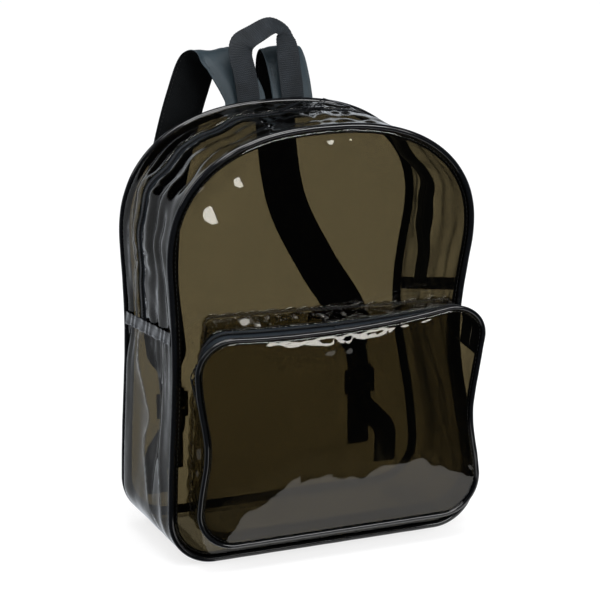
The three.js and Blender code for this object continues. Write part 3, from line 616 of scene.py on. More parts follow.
def stitches(name: str, line: Points, up: Points, row: StitchRow) -> bpy.types.Object:
    """A row of stitches along a line on a surface.

    Args:
        name: name of the piece.
        line: points that the row follows, in mm.
        up: the surface's outward directions at those points.
        row: the sizes of the stitches.

    Returns:
        The piece.
    """
    whole = lengths(line)[-1]
    pitch = row.length + row.gap
    count = max(2, int(whole / pitch))
    place = (np.arange(count) + 0.5) / count * whole
    origin, tangent, across, normal = placed_along(line, up, place, 0.4 * row.length)
    turn = np.where(np.arange(count) % 2, 1.0, -1.0)[:, None] * math.atan2(2 * row.zigzag, pitch)
    tangent, across = (
        tangent * np.cos(turn) + across * np.sin(turn),
        across * np.cos(turn) - tangent * np.sin(turn),
    )
    shape = stitch_shape(math.hypot(row.length, 2 * row.zigzag), row.thread)
    return copies(name, shape, origin, np.stack([tangent, across, normal], 1))


def linear(hex_colour: str) -> tuple[float, float, float, float]:
    """An sRGB hex colour as linear red, green and blue with full alpha."""
    parts = [int(hex_colour[i : i + 2], 16) / 255 for i in (1, 3, 5)]
    made = [c / 12.92 if c <= 0.04045 else ((c + 0.055) / 1.055) ** 2.4 for c in parts]
    return (made[0], made[1], made[2], 1.0)


class Tree:
    """The node tree of a material or of the world."""

    def __init__(self, owner: bpy.types.Material | bpy.types.World) -> None:
        """Empties the owner's tree."""
        owner.use_nodes = True
        self.owner = owner
        self.nodes = owner.node_tree.nodes
        self.links = owner.node_tree.links
        self.nodes.clear()

    def add(
        self, kind: str, links: dict[int | str, object] | None = None, **settings: object
    ) -> bpy.types.Node:
        """Adds a node.

        Args:
            kind: the node's type, without the word ShaderNode.
            links: for each input, an output to link or a value to set.
            settings: the node's own values.

        Returns:
            The node.
        """
        node = self.nodes.new("ShaderNode" + kind)
        for name, value in settings.items():
            setattr(node, name, value)
        for name, value in (links or {}).items():
            if isinstance(value, bpy.types.NodeSocket):
                self.links.new(value, node.inputs[name])
            else:
                node.inputs[name].default_value = value
        return node

    def noise(self, size: float, detail: float, roughness: float = 0.5) -> bpy.types.NodeSocket:
        """Noise in the object's own space, with clouds about size mm across."""
        place = self.add("TexCoord").outputs["Object"]
        values = {"Vector": place, "Scale": 1 / (size * MM), "Detail": detail, "Roughness": roughness}
        return self.add("TexNoise", values).outputs["Fac"]

    def bump(
        self,
        height: bpy.types.NodeSocket,
        strength: float,
        depth: float,
        over: bpy.types.NodeSocket | None = None,
    ) -> bpy.types.NodeSocket:
        """A normal that follows a height of a depth in mm, over another normal if there is one."""
        values = {"Height": height, "Strength": strength, "Distance": depth * MM}
        if over is not None:
            values["Normal"] = over
        return self.add("Bump", values).outputs[0]

    def spread(self, value: bpy.types.NodeSocket, low: float, high: float) -> bpy.types.NodeSocket:
        """A value from 0 to 1, laid out from low to high."""
        return self.add("MapRange", {"Value": value, "To Min": low, "To Max": high}).outputs[0]

    def blend(self, share: bpy.types.NodeSocket, first: str, last: str) -> bpy.types.NodeSocket:
        """A mix of two hex colours."""
        values = {"Factor": share, 6: linear(first), 7: linear(last)}
        return self.add("Mix", values, data_type="RGBA").outputs[2]

    def show(self, shader: bpy.types.Node) -> bpy.types.Material:
        """Puts a shader on the material's surface, and returns the material."""
        self.add("OutputMaterial", {"Surface": shader.outputs[0]})
        return self.owner


@dataclass(frozen=True)
class SmokedVinyl:
    """Calendered clear PVC film with a smoke tint.

    It is seen through, warm and dark, and its flat gloss mirrors the room in soft waves.
    """

    name: str = "smoked_clear_pvc"
    tint: str = "#c9c4b5"
    edge_tint: str = "#8f8b80"
    roughness: float = 0.035
    wave: float = 26.0
    wave_depth: float = 1.6
    pucker: float = 6.0
    pucker_depth: float = 0.06
    mirrored: float = 0.045
    mirrored_at_edge: float = 0.9
    falloff: float = 5.0

    def make(self) -> bpy.types.Material:
        """Builds the material."""
        tree = Tree(bpy.data.materials.new(self.name))
        broad = tree.bump(tree.noise(self.wave, 1.0, 0.4), 0.6, self.wave_depth)
        normal = tree.bump(tree.noise(self.pucker, 2.0), 0.3, self.pucker_depth, broad)
        turned = tree.add("LayerWeight", {"Blend": 0.5, "Normal": normal}).outputs["Facing"]
        edge = tree.add("Math", {0: turned, 1: self.falloff}, operation="POWER")
        share = tree.add(
            "Math",
            {0: edge.outputs[0], 1: self.mirrored_at_edge, 2: self.mirrored},
            operation="MULTIPLY_ADD",
            use_clamp=True,
        )
        through = tree.add("BsdfTransparent", {"Color": tree.blend(turned, self.tint, self.edge_tint)})
        gloss = tree.add("BsdfAnisotropic", {"Roughness": self.roughness, "Normal": normal})
        film = {0: share.outputs[0], 1: through.outputs[0], 2: gloss.outputs[0]}
        return tree.show(tree.add("MixShader", film))


@dataclass(frozen=True)
class BlackVinyl:
    """Extruded black PVC: wet-looking, with faint waves where the seam pulls at it."""

    name: str = "black_extruded_pvc"
    colour: str = "#07080a"
    roughness: float = 0.1
    rubbed: float = 0.1
    wave: float = 9.0
    wave_depth: float = 0.15
    index: float = 1.53

    def make(self) -> bpy.types.Material:
        """Builds the material."""
        tree = Tree(bpy.data.materials.new(self.name))
        waves = tree.noise(self.wave, 2.0)
        skin = {
            "Base Color": linear(self.colour),
            "Roughness": tree.spread(waves, self.roughness, self.roughness + self.rubbed),
            "IOR": self.index,
            "Normal": tree.bump(waves, 0.25, self.wave_depth),
        }
        return tree.show(tree.add("BsdfPrincipled", skin))


@dataclass(frozen=True)
class WovenCloth:
    """Woven polyester or polypropylene: the raised thread crossings are painted in a lighter colour, a painted
    highlight in rows of small dots.
    """

    name: str
    colour: str
    # The lit colour is a painted highlight on the raised thread crossings.
    lit: str
    across: float
    along: float
    depth: float
    roughness: float
    sheen: float
    gloss: float
    cloud: float = 14.0

    def make(self) -> bpy.types.Material:
        """Builds the material on the piece's own UVs, in metres."""
        tree = Tree(bpy.data.materials.new(self.name))
        split = tree.add("SeparateXYZ", {0: tree.add("TexCoord").outputs["UV"]})
        waves = []
        for output, pitch in ((split.outputs[0], self.across), (split.outputs[1], self.along)):
            turns = tree.add("Math", {0: output, 1: math.tau / (pitch * MM)}, operation="MULTIPLY")
            waves.append(tree.add("Math", {0: turns.outputs[0]}, operation="SINE").outputs[0])
        weave = tree.add("Math", {0: waves[0], 1: waves[1]}, operation="MULTIPLY")
        height = tree.add("MapRange", {"Value": weave.outputs[0], "From Min": -1.0}).outputs[0]
        # Painted highlight: the weave's crests, broken up by noise clouds, blend the colour towards the lit
        # colour.
        painted_highlight_share = tree.add("Math", {0: height, 1: tree.noise(self.cloud, 3.0)}, operation="MULTIPLY")
        cloth = {
            "Base Color": tree.blend(painted_highlight_share.outputs[0], self.colour, self.lit),
            "Roughness": self.roughness,
            "IOR": 1.5,
            "Specular IOR Level": self.gloss,
            "Sheen Weight": self.sheen,
            "Sheen Roughness": 0.45,
            "Normal": tree.bump(height, 0.7, self.depth),
        }
        return tree.show(tree.add("BsdfPrincipled", cloth))


@dataclass(frozen=True)
class HardPart:
    """A hard black part: painted die-cast zinc or moulded acetal, with a fine texture and rubbed edges."""

    name: str
    colour: str
    roughness: float
    metallic: float = 0.0
    grain: float = 0.5
    polished: float = 0.08
    rubbed: float = 0.1

    def make(self) -> bpy.types.Material:
        """Builds the material."""
        tree = Tree(bpy.data.materials.new(self.name))
        grain = tree.noise(self.grain, 2.0)
        part = {
            "Base Color": linear(self.colour),
            "Metallic": self.metallic,
            "Roughness": tree.spread(grain, self.roughness - self.polished, self.roughness + self.rubbed),
            "Normal": tree.bump(grain, 0.2, 0.05),
        }
        return tree.show(tree.add("BsdfPrincipled", part))


def made(finish: SmokedVinyl | BlackVinyl | WovenCloth | HardPart) -> bpy.types.Material:
    """A field that holds a finish's material, made together with its owner."""
    return field(default_factory=finish.make)


@dataclass
class Wardrobe:
    """All finishes, each made once."""

    film: bpy.types.Material = made(SmokedVinyl())
    vinyl: bpy.types.Material = made(BlackVinyl())
    # Each woven cloth's second colour is its lit colour, a painted highlight on the thread crossings.
    tape: bpy.types.Material = made(
        WovenCloth(
            "woven_zipper_tape", "#0d1217", "#222b34",
            across=1.5, along=1.2, depth=0.15, roughness=0.6, sheen=0.0, gloss=0.2,
        )
    )
    coil: bpy.types.Material = made(HardPart("nylon_coil", "#0d0f12", 0.35))
    thread: bpy.types.Material = made(HardPart("black_sewing_thread", "#0b0c0e", 0.6))
    webbing: bpy.types.Material = made(
        WovenCloth(
            "ribbed_webbing", "#040608", "#2b333b",
            across=1.7, along=2.1, depth=0.45, roughness=0.6, sheen=0.0, gloss=0.25,
        )
    )
    cloth: bpy.types.Material = made(
        WovenCloth(
            "slate_nylon_cloth", "#162127", "#25353d",
            across=1.1, along=1.1, depth=0.12, roughness=0.5, sheen=0.05, gloss=0.3,
        )
    )
    # Near-black mesh for the straps' inner faces; its darkness also stands in for the shade there.
    mesh: bpy.types.Material = made(
        WovenCloth(
            "black_spacer_mesh", "#030405", "#0e1113",
            across=2.4, along=2.4, depth=0.4, roughness=0.9, sheen=0.0, gloss=0.1,
        )
    )
    metal: bpy.types.Material = made(HardPart("painted_zinc", "#101215", 0.28, metallic=0.6))
    acetal: bpy.types.Material = made(HardPart("moulded_acetal", "#0c0d0f", 0.42))


def dress(
    obj: bpy.types.Object,
    materials: bpy.types.Material | Sequence[bpy.types.Material],
    slot: Slot,
    *nodes: str,
) -> bpy.types.Object:
    """Gives a piece its finish and its place in the assembly.

    Args:
        obj: the piece.
        materials: its material, or several in the order of its faces' indices.
        slot: the record's slot that the finish belongs to; not used.
        nodes: the frame's nodes that the piece stands for.

    Returns:
        The piece.
    """
    several = [materials] if isinstance(materials, bpy.types.Material) else list(materials)
    for material in several:
        obj.data.materials.append(material)
    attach(obj, BODY)
    if nodes:
        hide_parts(*nodes)
    log.info("%s: %d faces", obj.name, len(obj.data.polygons))
    return obj


def sew(name: str, line: Points, up: Points, row: StitchRow, wear: Wardrobe, slot: Slot) -> None:
    """Sews a row of black stitches.

    Args:
        name: name of the piece.
        line: points that the row follows, in mm.
        up: outward directions at those points.
        row: the sizes of the stitches.
        wear: the finishes.
        slot: the record's slot of the thread.
    """
    dress(stitches(name, line, up, row), wear.thread, slot)


def as_sheet(
    points: Points,
    cut: tuple[float, float] | None = None,
) -> None:
    """Works out the flat width and length of a film sheet's cut, and does nothing more with them.

    Args:
        points: its rows and columns before it was puckered.
        cut: width and length of the cut, or None to work them out from the rows and columns.
    """
    a, b = points[:-1, :-1], points[1:, :-1]
    c, d = points[1:, 1:], points[:-1, 1:]
    halves = (np.cross(b - a, c - a), np.cross(c - a, d - a))
    area = sum(np.linalg.norm(half, axis=2) for half in halves).sum() / 2
    length = np.linalg.norm(np.diff(points, axis=0), axis=2).sum(axis=0).max()
    width = max(np.linalg.norm(np.diff(points, axis=1), axis=2).sum(axis=1).max(), 1.001 * area / length)
    width, length = cut or (width, length)


@dataclass
class MainBody:
    """The two panels, their piping, the gusset and its bound side seams."""

    wear: Wardrobe
    panel_inset: float = 3.2
    panel_cut: tuple[float, float] = (331.0, 424.0)
    front_bulge: float = 7.0
    back_bulge: float = 5.0
    bulge_from: float = 248.5
    bulge_height: float = 90.0
    free_from: float = 262.0
    free_height: float = 45.0
    hem: float = 4.0
    pucker: float = 0.55
    pucker_reach: float = 12.0
    front_wave: float = 105.0
    front_slack: float = 1.3
    back_wave: float = 120.0
    back_slack: float = 1.6
    flange: float = 4.5
    flange_wall: float = 1.1
    pleat_height: float = 1.3
    belly: float = 5.2
    shirring: float = 1.3
    crimp: float = 0.6
    seam_inset: float = 2.4
    seam_row: StitchRow = StitchRow(3.2, 1.3)
    binding_row: StitchRow = StitchRow(2.8, 1.2)
    film_front_edge: float = 8.75
    film_back_edge: float = 27.25
    binding: float = 13.0
    binding_wall: float = 1.0
    stations: int = 300
    rings: int = 46
    # Dents in the front film: x, z, radius and depth in mm.
    dents: tuple[tuple[float, float, float, float], ...] = (
        (-120.0, 364.0, 17.0, 7.0),
        (-92.0, 388.0, 10.0, 4.2),
        (-106.0, 372.0, 5.0, 1.7),
        (-34.0, 410.0, 6.0, 2.0),
        (4.0, 417.0, 7.0, 2.4),
        (24.0, 418.0, 6.0, 2.2),
        (57.0, 411.0, 5.5, 2.0),
        (148.0, 318.0, 6.0, 2.0),
        (-60.0, 330.0, 40.0, 1.6),
        (30.0, 402.0, 16.0, 1.6),
        (70.0, 350.0, 46.0, 1.8),
    )
    # Creases of the lower gusset: their (depth, height) points, height and width in mm.
    creases: tuple[tuple[tuple[tuple[float, float], ...], float, float], ...] = (
        (((31, 215), (8, 160), (-5, 135), (3, 104), (-14, 57), (-33, 18)), 3.4, 4.5),
        (((10, 218), (-14, 165), (-22, 120), (-16, 70), (-26, 20)), -2.8, 4.0),
        (((-24, 222), (-36, 160), (-38, 110), (-48, 60), (-50, 20)), 2.4, 3.4),
    )
    # Folds of the lower gusset, as in the frame: side, height and depth shares, lengths, push.
    folds: tuple[tuple[int, float, float, float, float, float], ...] = (
        (-1, 0.72, -0.25, 0.34, 0.34, -0.05),
        (-1, 0.50, 0.30, 0.40, 0.30, -0.03),
        (-1, 0.34, -0.50, 0.26, 0.30, 0.02),
        (1, 0.66, 0.10, 0.36, 0.40, -0.045),
        (1, 0.36, -0.30, 0.30, 0.36, 0.02),
    )

    def build(self) -> None:
        """Builds and dresses every piece of the main body."""
        self.build_panels()
        self.build_pipings()
        self.build_arch_strips()
        self.build_lower_gusset()
        self.build_bindings()

    def panel_grid(self, middle: tuple[float, float]) -> tuple[Points, Points, Points]:
        """A panel's flat grid.

        Args:
            middle: the (x, z) point that its rings shrink to.

        Returns:
            The (x, z) points, the share of the way from middle to edge, and the length along the edge.
        """
        t = SEAM.spread(0, 1, self.stations + 1)
        edge = SEAM.at(t) + SEAM.inward(t) * self.panel_inset
        share = 1 - np.linspace(0, 1, self.rings) ** 1.15
        xz = np.array(middle) + share[None, :, None] * (edge[:, None] - np.array(middle))
        run = SEAM.length_at(t)[:, None]
        return xz, np.broadcast_to(share, xz.shape[:2]), np.broadcast_to(run, xz.shape[:2])

    def build_panels(self) -> None:
        """The front and back films, with the waves that the seams pull into them."""
        xz, share, run = self.panel_grid((0.0, self.bulge_from))
        x, z = xz[..., 0], xz[..., 1]
        above = smooth((z - self.bulge_from) / self.bulge_height)
        bulge = self.front_bulge * above * (1 - share**2)
        free = smooth((z - self.free_from) / self.free_height)
        inset = (1 - share) * np.linalg.norm(xz[:, :1] - np.array([0.0, self.bulge_from]), axis=-1)
        pull = bell(inset / self.pucker_reach) * smooth(inset / self.hem)
        closed = 2 * math.pi * run / run[-1:, :]
        pucker = pull * np.sin(57 * closed + 2.2 * np.sin(5 * closed) + 1.3 * np.sin(11 * closed))
        slack = ripples(x, z, self.front_wave, 11) * (1 - share**2) * self.front_slack
        dents = sum(d * bell(np.hypot(x - cx, z - cz) / r) for cx, cz, r, d in self.dents)
        y = -SHAPE.half_depth - bulge + free * (self.pucker * pucker + slack + dents) * smooth(inset / 6)
        flat = in_depth(xz, -SHAPE.half_depth - bulge)
        front = lay_sheet("front_film", in_depth(xz, y), merge=True, wall=SHAPE.film)
        dress(front, self.wear.film, Slot.FILM, "front_panel")
        as_sheet(flat, self.panel_cut)

        xz, share, run = self.panel_grid((0.0, (SHAPE.bead + SHAPE.top) / 2))
        x, z = xz[..., 0], xz[..., 1]
        bulge = self.back_bulge * smooth((0.9 - share) / 0.6)
        slack = ripples(x, z, self.back_wave, 23) * smooth((0.86 - share) / 0.4) * self.back_slack
        flat = in_depth(xz, SHAPE.half_depth + bulge)
        points = in_depth(xz, SHAPE.half_depth + bulge + slack)
        back = lay_sheet("back_film", points, merge=True, wall=SHAPE.film)
        dress(back, self.wear.film, Slot.FILM, "back_panel")
        as_sheet(flat, self.panel_cut)

    def piping_section(self, radius: float, flange: float, wall: float) -> Points:
        """A bead with the flange that is sewn into the seam, as (inward, into the bag) points."""
        near = SHAPE.layer
        far = near + wall
        angles = np.linspace(math.asin(far / radius), 2 * math.pi + math.asin(near / radius), 22)
        bead = np.stack([radius * np.cos(angles), radius * np.sin(angles)], -1)
        middle, half = (near + far) / 2, wall / 2
        tip = radius + flange
        edge = [(tip - 0.3, near), (tip, middle - half * 0.4), (tip, middle + half * 0.4), (tip - 0.3, far)]
        return np.concatenate([bead, edge])

    def piping(
        self, name: str, outline: SeamOutline, plane: float, into: int, section: Points, count: int
    ) -> bpy.types.Object:
        """A piping along a seam.

        Args:
            name: name of the piece.
            outline: the seam.
            plane: its depth.
            into: the direction of Y into the bag.
            section: the piping's section.
            count: how many stations.

        Returns:
            The piece.
        """
        t = outline.spread(0, 1, count + 1)[:-1]
        inward = in_depth(outline.inward(t), 0.0)
        seam = in_depth(outline.at(t), plane)
        run = outline.length_at(t) / outline.run[-1] * math.tau
        nudge = 0.22 * (np.sin(31 * run) + np.sin(47 * run + 1.0))
        beaded = bell(section[:, 0] / 6)
        rings = (
            seam[:, None]
            + inward[:, None] * section[None, :, :1]
            + np.array([0.0, into, 0.0]) * (section[None, :, 1:] + (nudge[:, None] * beaded * 0.5)[..., None])
        )
        return sweep(name, rings, closed=True)

    def build_pipings(self) -> None:
        """The main pipings, with the row of stitches that holds each seam."""
        section = self.piping_section(SHAPE.bead, self.flange, self.flange_wall)
        thread_face = SHAPE.film / 2 + THREAD_LIFT
        for name, into in (("front_piping", 1), ("back_piping", -1)):
            plane = -into * SHAPE.half_depth
            bead = self.piping(name + "_bead", SEAM, plane, into, section, 420)
            dress(bead, self.wear.vinyl, Slot.TRIM, name)
            t = SEAM.spread(0, 1, 900)
            xz = SEAM.at(t) + SEAM.inward(t) * (SHAPE.bead + self.seam_inset)
            line = in_depth(xz, plane - into * thread_face)
            sew(name + "_stitches", line, facing(line, -into), self.seam_row, self.wear, Slot.TRIM)

    @staticmethod
    def waver(t: Points, y: Points) -> tuple[Points, Points]:
        """How the slack zipper wanders, over the arch.

        Args:
            t: shares of the seam.
            y: depths.

        Returns:
            The shift in depth and the shift inwards, in mm.
        """
        x = SEAM.at(t)[..., 0]
        run = SEAM.length_at(t)
        sliders_at, held, ends_at, fade, margin = 22.0, 60.0, 262.0, 40.0, 34.0
        away = 1 - bell((x - sliders_at) / held)
        low = smooth((SEAM.at(t)[..., 1] - ends_at) / fade)
        free = away * low * smooth((SHAPE.gusset_edge - np.abs(y)) / margin)
        sway = 1.5 * pleats(run, pitch=6.1, drift=0.9, over=23) + 1.3 * np.sin(run / 14.5)
        sag = 1.4 * np.sin(run / 9.4 + 1.1) + 1.2 * np.sin(run / 21.0) + 1.0
        slump = smooth((x - 75) / 45) * low * smooth((y + 8) / 26) * smooth((SHAPE.gusset_edge - y) / 38)
        slump = slump * (8.0 + 2.0 * np.sin(run / 13.0 + 0.6))
        return sway * free, sag * free + slump

    def arch_points(self, y: Points, inset: float, count: int, gap: float = 0.3) -> tuple[Points, Points]:
        """A grid over the arch between the two side seams.

        Args:
            y: the grid's columns.
            inset: its distance inside the seam's surface.
            count: how many rows.
            gap: how far its ends stay from the side seams.

        Returns:
            The points, with the zipper's waver, and each row's outward direction.
        """
        start = SEAM.at_height(Side.LEFT, SHAPE.seam_height(Side.LEFT, y) + gap)
        end = SEAM.at_height(Side.RIGHT, SHAPE.seam_height(Side.RIGHT, y) + gap)
        even = SEAM.spread(float(start.mean()), float(end.mean()), count)
        share = (even - even[0]) / (even[-1] - even[0])
        t = start + share[:, None] * (end - start)
        depth = np.broadcast_to(y, t.shape)
        sway, sag = self.waver(t, depth)
        inward = SEAM.inward(t)
        xz = SEAM.at(t) + inward * (inset + sag)[..., None]
        return in_depth(xz, depth + sway), -in_depth(inward, 0.0)

    def build_arch_strips(self) -> None:
        """The film on both sides of the zipper, puckered by its seams."""
        for name, edges, seed in (
            ("front", (-SHAPE.gusset_edge, self.film_front_edge), 5),
            ("back", (self.film_back_edge, SHAPE.gusset_edge), 9),
        ):
            y = np.linspace(edges[0], edges[1], 26)
            points, outward = self.arch_points(y, 0.0, 300)
            flat = points.copy()
            share = (y - y[0]) / (y[-1] - y[0])
            inner = 1 - share if name == "back" else share
            length = lengths(points[:, 0])[:, None]
            body = np.clip(np.sin(math.pi * share), 0, 1) ** 0.8
            pleat = pleats(length, pitch=3.4, drift=1.7, over=11.0, phase=2.5 * share)
            hem = 1 - inner
            lift = 0.5 * (1 + pleat) * bell(hem / 0.3) * smooth(hem / 0.05) * self.pleat_height
            along = ripples(length * 0.2, y[None] * 1.0, 19.0, seed) * 2.0
            crumple = ripples(length, y[None] * 1.3, 24.0, seed + 1) * 1.7
            crest = bell((points[..., 0] - 10) / 75)
            slack = body * (along * (1 - 0.5 * crest) + crumple * (0.15 + 0.85 * crest) - 1.0)
            points = points + outward * (lift + slack)[..., None]
            strip = lay_sheet("zip_film_" + name, points, wall=SHAPE.film)
            dress(strip, self.wear.film, Slot.FILM, "zip_gusset_" + name)
            as_sheet(flat)

    @staticmethod
    def crease_line(z: Points, line: Sequence[tuple[float, float]]) -> Points:
        """The depth at which a crease runs at each height.

        Args:
            z: heights.
            line: the crease's (depth, height) points, from the top down.

        Returns:
            The depths.
        """
        depths, heights = np.array(line).T
        place = np.linspace(0, 1, 200)
        path = smooth_path(np.stack([depths, heights, np.zeros(len(depths))], -1), place)
        order = np.argsort(path[:, 1])
        return np.interp(z, path[order, 1], path[order, 0])

    def fold_push(self, xz: Points, y: Points) -> Points:
        """How far the lower gusset's soft folds stand out, in mm."""
        push = np.zeros(xz.shape[:2])
        for side, height, depth, length, width, out in self.folds:
            seam = SHAPE.seam_height(Side(side), y)
            up = (xz[..., 1] / seam - height) / length
            over = (y / SHAPE.half_depth - depth) / width
            push += np.where(xz[..., 0] * side > 0, out * SHAPE.depth * bell(up) * bell(over), 0)
        return push * (1 - (y / SHAPE.gusset_edge) ** 2)

    def build_lower_gusset(self) -> None:
        """The film down both sides and under the bag, with long upright folds."""
        y = np.linspace(-SHAPE.gusset_edge, SHAPE.gusset_edge, 44)
        start = SEAM.at_height(Side.LEFT, SHAPE.seam_height(Side.LEFT, y) - 0.3)
        end = SEAM.at_height(Side.RIGHT, SHAPE.seam_height(Side.RIGHT, y) - 0.3) - 1
        even = SEAM.spread(float(start.mean()), float(end.mean()), 300)
        share = ((even - even[0]) / (even[-1] - even[0]))[:, None]
        t = start + share * (end - start)
        xz = SEAM.at(t)
        depth = np.broadcast_to(y, t.shape)
        under = 1 - smooth((xz[..., 1] - SHAPE.bead) / SHAPE.corner)
        edge = 1 - (depth / SHAPE.gusset_edge) ** 2
        sag = np.where(np.abs(depth) < SHAPE.gusset_edge, (SHAPE.bead - SHAPE.film / 2) * under, 0)
        sag = sag * smooth(edge / 0.12)
        side = np.where(xz[..., 0] < 0, -1.0, 1.0)
        seams = [SHAPE.seam_height(which, depth) for which in Side]
        down = np.where(side < 0, *seams) - xz[..., 1]
        back = smooth((depth + 40) / 60) * smooth((SHAPE.gusset_edge - depth) / 13)
        belly = self.belly * back * smooth(down / 50) * smooth(xz[..., 1] / 40)
        gather = np.exp(-down / 26) * smooth(down / 5)
        shirr = self.shirring * pleats(depth, pitch=2.6, drift=1.2, over=7) * gather
        creases = sum(
            height * np.exp(-np.sqrt((depth - self.crease_line(xz[..., 1], line)) ** 2 + 0.8) / width)
            for line, height, width in self.creases
        )
        creases = creases * smooth(down / 14) * smooth(xz[..., 1] / 24)
        drape = ripples(xz[..., 1] * 0.35, depth, 42.0, 31) * edge * 1.1
        soft = (belly + creases + drape + shirr) * smooth(edge / 0.25)
        push = (self.fold_push(xz, depth) + soft) * (1 - under)
        flat = in_depth(xz - SEAM.inward(t) * sag[..., None], depth)
        points = in_depth(xz - SEAM.inward(t) * (push + sag)[..., None], depth)
        gusset = lay_sheet("lower_film", points, wall=SHAPE.film)
        dress(gusset, self.wear.film, Slot.FILM, "lower_gusset")
        as_sheet(flat)

    def build_bindings(self) -> None:
        """The bound bands across the side seams, each with two rows of stitches."""
        for side in Side:
            y = np.linspace(-SHAPE.gusset_edge, SHAPE.gusset_edge, 90)
            up = np.linspace(-self.binding / 2, self.binding / 2, 14)
            height = SHAPE.seam_height(side, y)[:, None] + up
            t = SEAM.at_height(side, height)
            depth = np.broadcast_to(y[:, None], t.shape)
            crimp = self.crimp * pleats(depth, pitch=2.3, drift=1.6, over=7, phase=up / 4)
            crimp = crimp * (0.3 + np.abs(up) / self.binding)
            out = SHAPE.layer + SHAPE.clearance + self.binding_wall / 2 + 0.5 + crimp
            points = in_depth(SEAM.at(t) - SEAM.inward(t) * out[..., None], depth)
            name = side.name.lower()
            band = lay_sheet("side_band_" + name, points, wall=self.binding_wall)
            dress(band, self.wear.vinyl, Slot.TRIM, "side_binding_" + name)
            for row, column in enumerate((3, 10)):
                line = points[:, column]
                outward = -in_depth(SEAM.inward(t[:, column]), 0.0)
                lifted = line + outward * 0.55
                sewn = f"side_band_{name}_stitches_{row}"
                sew(sewn, lifted, outward, self.binding_row, self.wear, Slot.TRIM)


def coil_tooth(width: float, height: float, pitch: float) -> bpy.types.Object:
    """One turn of the closed coil: a rounded bar across the zipper."""
    obj = box((pitch * 0.72, width, height))
    modify(obj, "BEVEL", width=pitch * 0.3, segments=2, limit_method="NONE")
    return obj


@dataclass
class ZipperHardware:
    """A slider, its ring and its tab, modelled flat along X with the foot at Z = 0."""

    wear: Wardrobe
    length: float = 11.0
    width: float = 8.4
    plate: float = 1.4
    nose: float = 5.0
    bridge_length: float = 7.5
    ring: float = 9.5
    wire: float = 1.2
    tab_length: float = 30.0
    tab_width: float = 5.5
    tab_wall: float = 1.2

    @property
    def wire_height(self) -> float:
        """The height of the ring's wire over the slider's foot."""
        return self.plate + SHAPE.clearance + self.wire / 2

    def slider(self, name: str) -> bpy.types.Object:
        """The slider: a pressed body that narrows to its nose, a lip round it and a bridge."""
        body = box((self.length, self.width, self.plate))
        body.name = body.data.name = name
        body.data.transform(Matrix.Translation((0, 0, self.plate / 2)))
        edit_all(lambda: bpy.ops.mesh.subdivide(number_cuts=3))
        for vertex in body.data.vertices:
            narrow = smooth((-vertex.co.x - 0.4) / (self.length / 2))
            vertex.co.y *= 1 - float(narrow) * (1 - self.nose / self.width)
            if vertex.co.x < -self.length / 2.2:
                vertex.co.x -= 0.8 * (1 - (abs(vertex.co.y) / (self.width / 2)) ** 2)
        modify(body, "BEVEL", width=0.45, segments=3, limit_method="ANGLE", angle_limit=math.radians(50))
        bpy.ops.object.select_all(action="DESELECT")
        bpy.ops.mesh.primitive_torus_add(
            major_radius=self.bridge_length / 2, minor_radius=0.75, major_segments=28, minor_segments=10
        )
        bridge = bpy.context.object
        bridge.data.transform(Matrix.Rotation(math.pi / 2, 4, "X"))
        bridge.data.transform(Matrix.Diagonal((1, 1.25, 0.88, 1)))
        bridge.data.transform(Matrix.Translation((0, 0, self.plate * 0.7)))
        for vertex in bridge.data.vertices:
            vertex.co.z = max(vertex.co.z, self.plate * 0.3)
        join(body, bridge)
        return body

    def pull(self, name: str, lean: float) -> bpy.types.Object:
        """The ring through the bridge and the tab on it.

        Args:
            name: name of the piece.
            lean: the angle between the film and the ring's plane, in radians.

        Returns:
            The piece.
        """
        radius = self.ring / 2
        bpy.ops.object.select_all(action="DESELECT")
        bpy.ops.mesh.primitive_torus_add(
            major_radius=radius, minor_radius=self.wire / 2, major_segments=40, minor_segments=12
        )
        ring = bpy.context.object
        ring.name = ring.data.name = name
        ring.data.transform(Matrix.Translation((radius, 0, 0)))
        ring.data.transform(Matrix.Rotation(-lean, 4, "Y"))
        root = self.wire
        tab = box((self.tab_length + root, self.tab_width, self.tab_wall))
        tab.data.transform(Matrix.Translation(((self.tab_length - root) / 2, 0, 0)))
        edit_all(lambda: bpy.ops.mesh.subdivide(number_cuts=9))
        for vertex in tab.data.vertices:
            x, y = vertex.co.x, vertex.co.y
            share = (x + root) / (self.tab_length + root)
            waist = 0.62 + 0.38 * float(smooth(share / 0.45))
            end = max(0.0, (x - (self.tab_length - self.tab_width / 2)) / (self.tab_width / 2))
            vertex.co.y = y * waist * math.sqrt(max(0.12, 1 - min(end, 1.0) ** 2))
            middle = 1 - min(1.0, abs(y) / (self.tab_width * 0.34))
            vertex.co.z *= 1 - 0.35 * min(1.0, middle * 3) * float(bell((share - 0.62) / 0.24))
        modify(tab, "BEVEL", width=0.3, segments=2, limit_method="ANGLE", angle_limit=math.radians(50))
        far_x, far_z = 2 * radius * math.cos(lean), 2 * radius * math.sin(lean)
        drop = math.asin((far_z + self.wire_height - self.tab_wall / 2) / self.tab_length)
        tab.data.transform(Matrix.Rotation(drop, 4, "Y"))
        tab.data.transform(Matrix.Translation((far_x, 0, far_z)))
        join(ring, tab)
        return ring

    @staticmethod
    def seat(obj: bpy.types.Object, foot: Points, outward: Points, height: float, turn: float) -> None:
        """Puts a piece that was made flat on the film, and writes its place into its mesh.

        Args:
            obj: the piece.
            foot: the point under it, in mm.
            outward: the film's outward direction.
            height: how high it stands over the point.
            turn: its turn about that direction, in radians.
        """
        up = Vector(outward)
        along = Vector((0, 1, 0)).cross(up)
        depth = up.cross(along)
        frame = Matrix((along, depth, up)).transposed().to_4x4()
        place = Matrix.Translation(Vector(foot) + up * height)
        obj.data.transform(Matrix.Scale(MM, 4) @ place @ frame @ Matrix.Rotation(turn, 4, "Z"))
        select_only(obj)
        bpy.ops.object.shade_smooth_by_angle(angle=math.radians(40))


